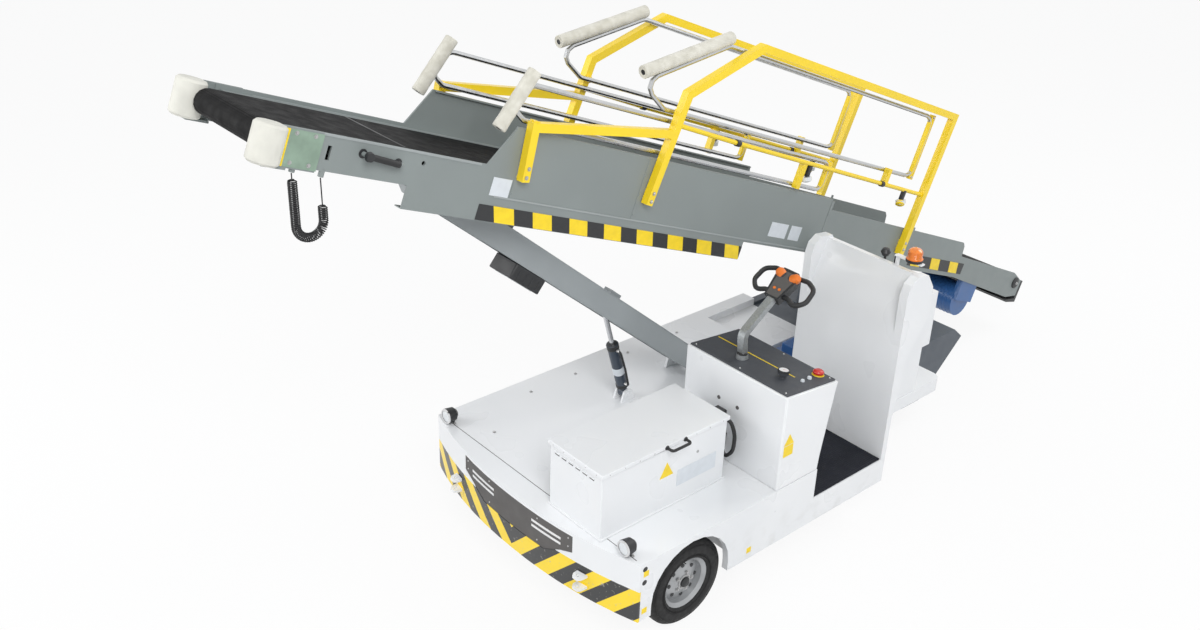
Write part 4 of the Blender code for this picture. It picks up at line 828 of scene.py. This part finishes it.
def headlights():
    for side, _ in SIDES:
        low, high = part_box(f"headlight_{side}")
        face = Vector((high.x - 0.002, (low.y + high.y) / 2, high.z - 0.052))
        turned(
            "lens_ring", [(-0.004, 0.040), (-0.004, 0.051), (0.003, 0.050), (0.003, 0.040)], CHROME,
            "chassis", face, (1, 0, 0), 32,
        )
        turned(
            "lens", [(0.0, 0.041), (0.001, 0.034), (0.0018, 0.018), (0.002, 0.0)], LENS, "chassis", face,
            (1, 0, 0), 32,
        )
        bolt(Vector((low.x + 0.035, (low.y + high.y) / 2 + 0.03, DECK + OFF)), (0, 0, 1), "chassis", 0.008)


headlights()


def deck():
    """Seam and bolts of the deck, the battery box's sill, side grommets and the well's bars."""
    block(
        "deck_seam", (FRONT_FACE - 0.004, -0.95, DECK - 0.0005), (FRONT_FACE + 0.001, 0.95, DECK + 0.0006),
        MOLDED, "chassis", edge=0.0003,
    )
    for x, y in ((1.80, -0.6), (1.80, 0.0), (1.3, -0.85), (0.9, -0.85), (0.4, -0.85), (-0.1, -0.85)):
        bolt(Vector((x, y, DECK + OFF)), (0, 0, 1), "chassis", 0.008)
    box_low, box_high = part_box("battery_box")
    block(
        "box_sill", (box_low.x - 0.012, box_low.y - 0.010, DECK + OFF),
        (box_high.x + 0.008, box_high.y + 0.012, DECK + 0.010), WHITE, "chassis", edge=0.003,
    )
    for z in (0.655, 0.56):
        stud("side_grommet", 0.020, 0.018, 0.0008, DARK, "chassis", (1.93, 0.9993, z), (0, 1, 0), 20)
    well_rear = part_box("hydraulic_unit")[1].x
    for k in range(4):
        x = well_rear + 0.06 + k * 0.03
        block(
            "well_bar", (x, -0.32, DECK - 0.012), (x + 0.014, 0.01, DECK - 0.001), DARK, "chassis", edge=0.003
        )


deck()


def battery_box():
    low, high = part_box("battery_box")
    lid_low, lid_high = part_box("battery_lid")
    lid_y = low.y - lid_low.y + high.y  # the lid's left edge, without its handle
    lid_face = lid_high.z
    # screws along the lid's edge
    for k in range(9):
        x = lid_low.x + 0.06 + k * (lid_high.x - lid_low.x - 0.12) / 8
        rivet(Vector((x, lid_y, lid_face - 0.015)), (0, 1, 0), "lid", 0.004)
    for k in range(5):
        y = lid_low.y + 0.05 + k * (lid_y - lid_low.y - 0.1) / 4
        rivet(Vector((lid_high.x, y, lid_face - 0.015)), (1, 0, 0), "lid", 0.004)
    # the handle's black grip
    bar = lid_y - 0.011
    middle = lid_high.x - 0.576
    reach = [
        Vector((middle - 0.075, lid_y - 0.001, lid_face - 0.014)),
        Vector((middle - 0.075, bar + 0.060, lid_face - 0.014)),
        Vector((middle + 0.075, bar + 0.060, lid_face - 0.014)),
        Vector((middle + 0.075, lid_y - 0.001, lid_face - 0.014)),
    ]
    tube("lid_grip", reach, 0.0092, RUBBER, "lid", sides=4, round_by=0.022)
    for x in (-0.075, 0.075):
        stud(
            "grip_foot", 0.016, 0.013, 0.006, DARK, "lid", (middle + x, lid_y, lid_face - 0.014), (0, 1, 0),
            20,
        )
    stud(
        "key_lock", 0.010, 0.009, 0.003, BOLT, "chassis", (middle - 0.20, high.y, low.z + 0.30), (0, 1, 0), 20
    )
    # vent slots under the lid on the front face: dark blocks of painted shade in the openings under white
    # hoods
    for k in range(6):
        y = low.y + 0.045 + k * 0.062
        block(
            "vent_slot_shade", (high.x - 0.002, y, high.z - 0.048), (high.x + 0.0008, y + 0.040, high.z - 0.034),
            MOLDED, "chassis", edge=0.0006,
        )
        block(
            "vent_hood", (high.x, y - 0.003, high.z - 0.036), (high.x + 0.006, y + 0.043, high.z - 0.029),
            WHITE, "chassis", edge=0.002,
        )
    # blank plate and blank yellow triangle on the left face
    face = left_face(high.y + OFF)
    plate("blank_plate", square(-(low.x + 0.245), 0.872, 0.33, 0.115), SKIN, LABEL_WHITE, "chassis", face, 0)
    tip = -(low.x + 0.50)
    plate(
        "blank_triangle", [(tip - 0.055, 0.925), (tip + 0.055, 0.925), (tip, 1.025)], SKIN, TAPE_YELLOW,
        "chassis", face, 0,
    )


battery_box()


def power_lead():
    """The thick lead that loops between the battery box and the console."""
    plug_low, plug_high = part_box("battery_plug")
    y = 0.600
    loop = [
        (plug_low.x + 0.045, 0.585, plug_high.z - 0.045),
        (plug_low.x + 0.040, y + 0.055, plug_high.z - 0.03),
        (plug_low.x + 0.020, y + 0.085, 0.98),
        (plug_low.x + 0.010, y + 0.070, 0.84),
        (plug_low.x + 0.015, y + 0.010, 0.775),
        (plug_low.x - 0.020, y - 0.050, 0.800),
        (plug_low.x - 0.046, y - 0.055, 0.90),
    ]
    tube("power_lead", loop, 0.0125, RUBBER, "chassis", sides=4, round_by=0.06)
    turned(
        "lead_gland", [(0, 0), (0, 0.020), (0.010, 0.020), (0.022, 0.015), (0.022, 0)], DARK, "chassis",
        (plug_low.x + 0.045, 0.5848, plug_high.z - 0.045), (0, 1, 0), 20,
    )
    console_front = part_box("console")[1].x
    for y_screw in (0.463, 0.622):
        turned(
            "panel_screw", [(0, 0), (0, 0.013), (0.004, 0.012), (0.005, 0)], MOLDED, "chassis",
            (console_front, y_screw, 1.12), (1, 0, 0), 20,
        )


power_lead()


PANEL_RISE = 0.052  # from the console's front edge to its rear edge


def console_top():
    """The console's yellow line, gauge, stop button and keys, on its sloping panel."""
    console_low, console_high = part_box("console")
    front, rear = console_high.x, console_low.x
    slope = math.atan2(PANEL_RISE, front - rear)
    base = Matrix.Translation((front, 0, console_high.z)) @ Matrix.Rotation(-slope, 4, "Y")
    up = (base.to_3x3() @ Vector((0, 0, 1))).normalized()

    def on_panel(x_from_front, y, height):
        return base @ Vector((x_from_front / math.cos(slope), y, height))

    thick = 0.010
    line_from, line_to = 0.19, 0.84
    line_middle = Matrix.Translation(on_panel(-0.250, (line_from + line_to) / 2, thick + OFF))
    line_place = line_middle @ Matrix.Rotation(-slope, 4, "Y")
    plate(
        "panel_line", square(0, 0, 0.008, line_to - line_from), 0.0008, TAPE_YELLOW, "chassis", line_place, 0
    )
    gauge = on_panel(-0.181, 0.80, 0.005 + 0.055)
    turned(
        "gauge_face", [(0.0, 0.0), (0.0, 0.031), (0.0012, 0.031), (0.0012, 0.0)], SLOT_WHITE, "chassis",
        gauge - up * 0.0005, up, 32,
    )
    turned(
        "gauge_rim", [(-0.012, 0.0362), (-0.010, 0.0385), (0.002, 0.0375), (0.004, 0.034), (0.001, 0.030)],
        DARK, "chassis", gauge, up, 32,
    )
    needle = Matrix.Translation(
        gauge + up * 0.0009
    ) @ Matrix.Rotation(-slope, 4, "Y") @ Matrix.Rotation(0.7, 4, "Z")
    plate(
        "gauge_needle", [(-0.001, -0.006), (0.001, -0.006), (0.0004, 0.025), (-0.0004, 0.025)], 0.0006, RED,
        "chassis", needle, 0,
    )
    stop = on_panel(-0.416, 0.885, thick)
    turned(
        "stop_ring", [(0, 0.021), (0, 0.040), (0.003, 0.038), (0.003, 0.021)], TAPE_YELLOW, "chassis", stop,
        up, 32,
    )
    turned(
        "stop_head",
        [(0.010, 0.018), (0.013, 0.0345), (0.021, 0.0368), (0.029, 0.0335), (0.0365, 0.022), (0.0375, 0.0)],
        RED, "chassis", stop - up * 0.004, up, 32,
    )
    for x, y, radius in ((-0.321, 0.895, 0.0125), (-0.251, 0.90, 0.0105)):
        turned(
            "panel_key", [(0, radius + 0.003), (0.004, radius + 0.002), (0.0125, radius), (0.0128, 0)],
            LABEL_WHITE, "chassis", on_panel(x, y, thick), up, 24,
        )
    for x in (-0.035, -0.445):
        for y in (0.20, 0.58, 0.955):
            rivet(on_panel(x, y, thick), up, "chassis", 0.006)
    # blank yellow label on the left face
    face = left_face(console_high.y + OFF)
    mid = -(front - 0.065)
    plate("blank_square", square(mid, 0.975, 0.085, 0.075), SKIN, TAPE_YELLOW, "chassis", face, 0)
    plate(
        "blank_triangle", [(mid - 0.045, 1.018), (mid + 0.045, 1.018), (mid, 1.095)], SKIN, TAPE_YELLOW,
        "chassis", face, 0,
    )


console_top()


def tiller():
    """Orange horns, plate and buttons on the tiller's head, and the collar and bolts of its foot."""
    pivot = Vector(joints["tiller_turn"]["pos_m"])
    foot_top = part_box("tiller_arm")[0].z
    head = Vector((pivot.x - 0.335, pivot.y, foot_top + 0.405))
    lean = math.radians(35)
    out = Vector((-math.cos(lean), 0, math.sin(lean)))
    up = Vector((math.sin(lean), 0, math.cos(lean)))
    for sign in (-1, 1):
        centre = head + out * 0.045 + Vector((0, sign * 0.03, 0)) + up * 0.012
        way = (Vector((0, sign * 0.9, 0)) + up * 0.5 + out * 0.25).normalized()
        turned(
            "horn_cap", [(0.012, 0.0335), (0.050, 0.0315), (0.0662, 0.019), (0.0665, 0.0)], ORANGE, "tiller",
            centre, way, 24,
        )
    place = Matrix((out, Vector((0, 1, 0)), up)).transposed().to_4x4()
    place.translation = head + up * 0.0352
    plate(
        "head_plate",
        [(-0.115, -0.045), (0.02, -0.065), (0.075, -0.045), (0.075, 0.045), (0.02, 0.065), (-0.115, 0.045)],
        0.002, MOLDED, "tiller", place,
    )
    for y in (-0.02, 0.02):
        turned(
            "head_button", [(0, 0.010), (0.005, 0.009), (0.006, 0)], ORANGE, "tiller",
            head + out * -0.06 + Vector((0, y, 0)) + up * 0.0365, up, 20,
        )
    collar = Vector((pivot.x, pivot.y, foot_top + 0.0305))
    turned(
        "foot_collar", [(0, 0.030), (0, 0.0355), (0.010, 0.034), (0.014, 0.028)], DARK, "tiller", collar,
        (0, 0, 1), 28,
    )
    for k in range(3):
        t = math.tau * k / 3
        bolt(
            Vector((pivot.x + 0.032 * math.cos(t), pivot.y + 0.032 * math.sin(t), foot_top + 0.0295)),
            (0, 0, 1), "tiller", 0.004,
        )


tiller()


def rear_cabinet():
    y = 0.7953  # just outside the cabinet's left face
    face = left_face(y)
    plate("cabinet_door", square(0.60, 1.03, 0.40, 0.58), 0.003, WHITE, "chassis", face)
    # a dark plate of painted shade where the cabinet's slot is
    plate("cabinet_slot_shade", square(0.66, 1.14, 0.032, 0.20), 0.0045, DARK, "chassis", face, 0)
    plate("blank_square", square(0.46, 0.95, 0.075, 0.115), 0.0042, TAPE_YELLOW, "chassis", face, 0)
    for z in (0.80, 1.27):
        turned(
            "hinge_barrel", [(-0.03, 0), (-0.03, 0.007), (0.03, 0.007), (0.03, 0)], BOLT, "chassis",
            (-0.405, y + 0.004, z), (0, 0, 1), 16,
        )
    beacon_low, beacon_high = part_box("beacon")
    centre = Vector(((beacon_low.x + beacon_high.x) / 2, (beacon_low.y + beacon_high.y) / 2, beacon_low.z))
    turned(
        "beacon_base", [(0.0002, 0.050), (0.0002, 0.0562), (0.019, 0.0560), (0.021, 0.050)], DARK, "chassis",
        centre, (0, 0, 1), 32,
    )
    for k in range(4):
        z = 0.030 + k * 0.011
        turned(
            "beacon_rib", [(z - 0.002, 0.0475), (z, 0.0488), (z + 0.002, 0.0475)], AMBER, "chassis", centre,
            (0, 0, 1), 32,
        )


rear_cabinet()

# ---------------------------------------------------------------- wheels


BEAD_R, FLANK_R = 0.1724, 0.188
WALL_R, WALL_RISE = 0.226, 0.032  # the middle of the rounded sidewall, and half its height
WALL_BULGE = 0.10  # as a share of the tyre's half width
CROWN = ((0.80, 0.282), (0.62, 0.292))  # shoulder steps: share of the half width, and radius
CROWN_FLAT = 0.40
NUT_CIRCLE, HOLE_CIRCLE = 0.062, 0.106


def wheels():
    for end in ("front", "rear"):
        for side, sign in SIDES:
            body = f"wheel_{end}_{side}"
            low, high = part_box(f"tyre_{end}_{side}")
            centre = (low + high) / 2
            radius = (high.z - low.z) / 2
            half = (high.y - low.y) / 2
            axis = Vector((0, sign, 0))
            # a rounder tyre in place of the CAD one, with shoulder steps and bead
            profile = [(-half * 0.84, BEAD_R), (-half * 0.97, FLANK_R)]
            for k in range(9):
                t = math.radians(-80 + k * 20)
                wall = half * WALL_BULGE * (1 - math.cos(t)) + 0.002
                profile.append((wall - half, WALL_R + WALL_RISE * math.sin(t)))
            profile += [(-half * share, r) for share, r in CROWN]
            profile += [(-half * CROWN_FLAT, radius), (half * CROWN_FLAT, radius)]
            profile += [(half * share, r) for share, r in reversed(CROWN)]
            for k in range(9):
                t = math.radians(80 - k * 20)
                wall = half * WALL_BULGE * (1 - math.cos(t)) + 0.002
                profile.append((half - wall, WALL_R + WALL_RISE * math.sin(t)))
            profile += [(half * 0.97, FLANK_R), (half * 0.84, BEAD_R)]
            tyre = turned("tyre_skin", profile + [profile[0]], TYRE, body, centre, axis, 64)
            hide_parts(f"tyre_{end}_{side}")
            for r in (0.200, 0.262):
                turned(
                    "sidewall_rib",
                    [(half - 0.004, r - 0.002), (half - 0.0005, r), (half - 0.004, r + 0.002)], TYRE, body,
                    centre, axis, 64,
                )
            # hub cap, bolts, and dark discs painted as the shade inside the rim's holes
            face = half * 0.66
            turned(
                "hub_cap", [(face, 0.034), (face + 0.010, 0.033), (face + 0.018, 0.024), (face + 0.020, 0)],
                DARK, body, centre, axis, 32,
            )
            turned(
                "hub_ring", [(face - 0.002, 0.036), (face + 0.004, 0.044), (face + 0.001, 0.050)], BOLT, body,
                centre, axis, 32,
            )
            for k in range(5):
                t = math.tau * (k + 0.5) / 5
                at = centre + axis * (half * 0.585) + Vector((math.cos(t), 0, math.sin(t))) * NUT_CIRCLE
                bolt(at, axis, body, 0.009)
            # dark discs: painted shade where the rim has its holes
            for k in range(8):
                t = math.tau * k / 8
                at = centre + axis * (half * 0.36) + Vector((math.cos(t), 0, math.sin(t))) * HOLE_CIRCLE
                stud("rim_hole", 0.013, 0.013, 0.004, DARK, body, at, axis, 20)
            turned(
                "valve", [(0, 0), (0, 0.004), (0.030, 0.003), (0.032, 0)], DARK, body,
                centre + axis * (half * 0.30) + Vector((0, 0, 0.136)), axis, 10,
            )


wheels()

# ---------------------------------------------------------------- lift arm and cylinder


def lift():
    foot = Vector(joints["arm_tilt"]["pos_m"])
    roller = on_belt(4.27, 0, 0.1665)
    along = Vector((roller.x - foot.x, 0, roller.z - foot.z)).normalized()
    above = Vector((-along.z, 0, along.x))
    place = Matrix((along, Vector((0, 1, 0)), above)).transposed().to_4x4()
    place.translation = (foot.x, CONV_MID, foot.z)
    length = (Vector((roller.x, 0, roller.z)) - Vector((foot.x, 0, foot.z))).length
    half, depth = 0.11, 0.075
    # edges and pin washers, then the bracket and the lamp's lens and fins
    for sign in (-1, 1):
        block(
            "arm_edge", (0.12, sign * half - 0.004, depth - 0.004),
            (length - 0.14, sign * half + 0.004, depth + 0.0025), ARM, "arm", place, 0.002,
        )
        pin = place @ Vector((0, sign * half, 0))
        turned(
            "pin_washer", [(0, 0.018), (0, 0.030), (0.004, 0.029), (0.004, 0.018)], BOLT, "arm", pin,
            (0, sign, 0), 24,
        )
    block(
        "arm_bracket", (length * 0.735, -0.030, depth), (length * 0.735 + 0.075, 0.030, depth + 0.040), ARM,
        "arm", place, 0.006,
    )
    bolt(place @ Vector((length * 0.735 + 0.037, 0, depth + 0.040)), above, "arm", 0.008)
    lamp = length - 1.02
    block(
        "lamp_lens", (lamp - 0.10, -0.075, -depth - 0.1025), (lamp + 0.10, 0.075, -depth - 0.0995), LENS,
        "arm", place, 0.001,
    )
    for k in range(4):
        x = lamp - 0.09 + k * 0.06
        block(
            "lamp_fin", (x - 0.004, -0.1075, -depth - 0.08), (x + 0.004, 0.1075, -depth - 0.03), DARK, "arm",
            place, 0.001,
        )
    barrel = Vector(joints["barrel_tilt"]["pos_m"])
    way = Vector(joints["ram_slide"]["axis"])
    turned(
        "gland_nut", [(0.400, 0.0405), (0.402, 0.0425), (0.436, 0.0425), (0.4405, 0.036), (0.4405, 0.019)],
        DARK, "barrel", barrel, way, 32,
    )
    turned(
        "barrel_band", [(0.060, 0.0405), (0.062, 0.0425), (0.085, 0.0425), (0.087, 0.0405)], DARK, "barrel",
        barrel, way, 32,
    )
    turned(
        "barrel_label", [(0.18, 0.0402), (0.18, 0.0406), (0.24, 0.0406), (0.24, 0.0402)], LABEL_WHITE,
        "barrel", barrel, way, 32,
    )
    for run in (0.40, 0.10):
        at = barrel + way * run + Vector((0, 0.040, 0))
        turned(
            "hose_fitting", [(0, 0.012), (0.012, 0.012), (0.012, 0.0095), (0.024, 0.0095)], BOLT, "barrel",
            at, (0, 1, 0), 6,
        )


lift()


def belt_drive():
    """Fan cover, cooling ribs and hoses of the belt's motor at the rear."""
    centre = on_belt(-1.30, 0, 0.035)
    for k in range(9):
        y = -0.385 + k * 0.036
        turned(
            "motor_rib", [(-0.004, 0.139), (-0.003, 0.1425), (0.003, 0.1425), (0.004, 0.139)], BLUE,
            "conveyor", (centre.x, y, centre.z), (0, 1, 0), 40,
        )
    turned(
        "motor_cover", [(0, 0.12), (-0.006, 0.11), (-0.008, 0.0)], DARK, "conveyor",
        (centre.x, -0.42, centre.z), (0, 1, 0), 40,
    )
    for k in range(2):
        start = on_belt(-1.42, -0.20 - 0.05 * k, 0.13)
        tube(
            "motor_hose",
            [
                start, on_belt(-1.60, -0.20 - 0.05 * k, 0.10), on_belt(-1.78, -0.16 - 0.05 * k, 0.16),
                on_belt(-1.90, -0.16 - 0.05 * k, 0.22),
            ],
            0.010, RUBBER, "conveyor", sides=3, round_by=0.08,
        )


belt_drive()

# ---------------------------------------------------------------- light, floor and background


def lamp(name, place, target, size, power):
    data = bpy.data.lights.new(name, "AREA")
    data.shape = "DISK"
    data.size = size
    data.energy = power
    light = bpy.data.objects.new(name, data)
    light.location = place
    light.rotation_euler = (Vector(target) - Vector(place)).to_track_quat("-Z", "Y").to_euler()
    scene.collection.objects.link(light)


lamp("key", (5.5, 7.0, 9.0), (0, 0, 1), 5.0, 620)
lamp("fill", (8.0, -5.0, 5.0), (0, 0, 1), 6.0, 260)
lamp("back", (-7.0, 2.0, 8.0), (0, 0, 1), 5.0, 260)


def seen_or_mirrored(tree):
    """1 for rays from the camera, mirrors and glass."""
    path = tree.nodes.new("ShaderNodeLightPath")
    first = tree.nodes.new("ShaderNodeMath")
    first.operation = "MAXIMUM"
    second = tree.nodes.new("ShaderNodeMath")
    second.operation = "MAXIMUM"
    tree.links.new(path.outputs["Is Camera Ray"], first.inputs[0])
    tree.links.new(path.outputs["Is Glossy Ray"], first.inputs[1])
    tree.links.new(first.outputs[0], second.inputs[0])
    tree.links.new(path.outputs["Is Transmission Ray"], second.inputs[1])
    return second.outputs[0]


def background():
    world = bpy.data.worlds.new("studio")
    scene.world = world
    world.use_nodes = True
    tree = world.node_tree
    plain = tree.nodes["Background"]
    plain.inputs["Color"].default_value = (0.95, 0.97, 1.0, 1)
    plain.inputs["Strength"].default_value = 0.55
    white = tree.nodes.new("ShaderNodeBackground")
    white.inputs["Color"].default_value = (1, 1, 1, 1)
    white.inputs["Strength"].default_value = 1.0
    choose = tree.nodes.new("ShaderNodeMixShader")
    tree.links.new(seen_or_mirrored(tree), choose.inputs[0])
    tree.links.new(plain.outputs[0], choose.inputs[1])
    tree.links.new(white.outputs[0], choose.inputs[2])
    tree.links.new(choose.outputs[0], tree.nodes["World Output"].inputs["Surface"])


def floor():
    bm = bmesh.new()
    bmesh.ops.create_grid(bm, x_segments=1, y_segments=1, size=40)
    mesh = meshed("floor", bm, False)
    piece = bpy.data.objects.new("floor", mesh)
    scene.collection.objects.link(piece)
    piece.location.z = -0.001
    material = bpy.data.materials.new("floor")
    material.use_nodes = True
    tree = material.node_tree
    shader = tree.nodes["Principled BSDF"]
    shader.inputs["Base Color"].default_value = (0.86, 0.86, 0.86, 1)
    shader.inputs["Roughness"].default_value = 0.9
    glow = tree.nodes.new("ShaderNodeEmission")
    glow.inputs["Strength"].default_value = 1.0
    choose = tree.nodes.new("ShaderNodeMixShader")
    share = tree.nodes.new("ShaderNodeMath")
    share.operation = "MULTIPLY"
    share.inputs[1].default_value = 0.9
    tree.links.new(seen_or_mirrored(tree), share.inputs[0])
    tree.links.new(share.outputs[0], choose.inputs[0])
    tree.links.new(shader.outputs[0], choose.inputs[1])
    tree.links.new(glow.outputs[0], choose.inputs[2])
    tree.links.new(choose.outputs[0], tree.nodes["Material Output"].inputs["Surface"])
    mesh.materials.append(material)


background()
floor()
scene.view_settings.view_transform = "Standard"
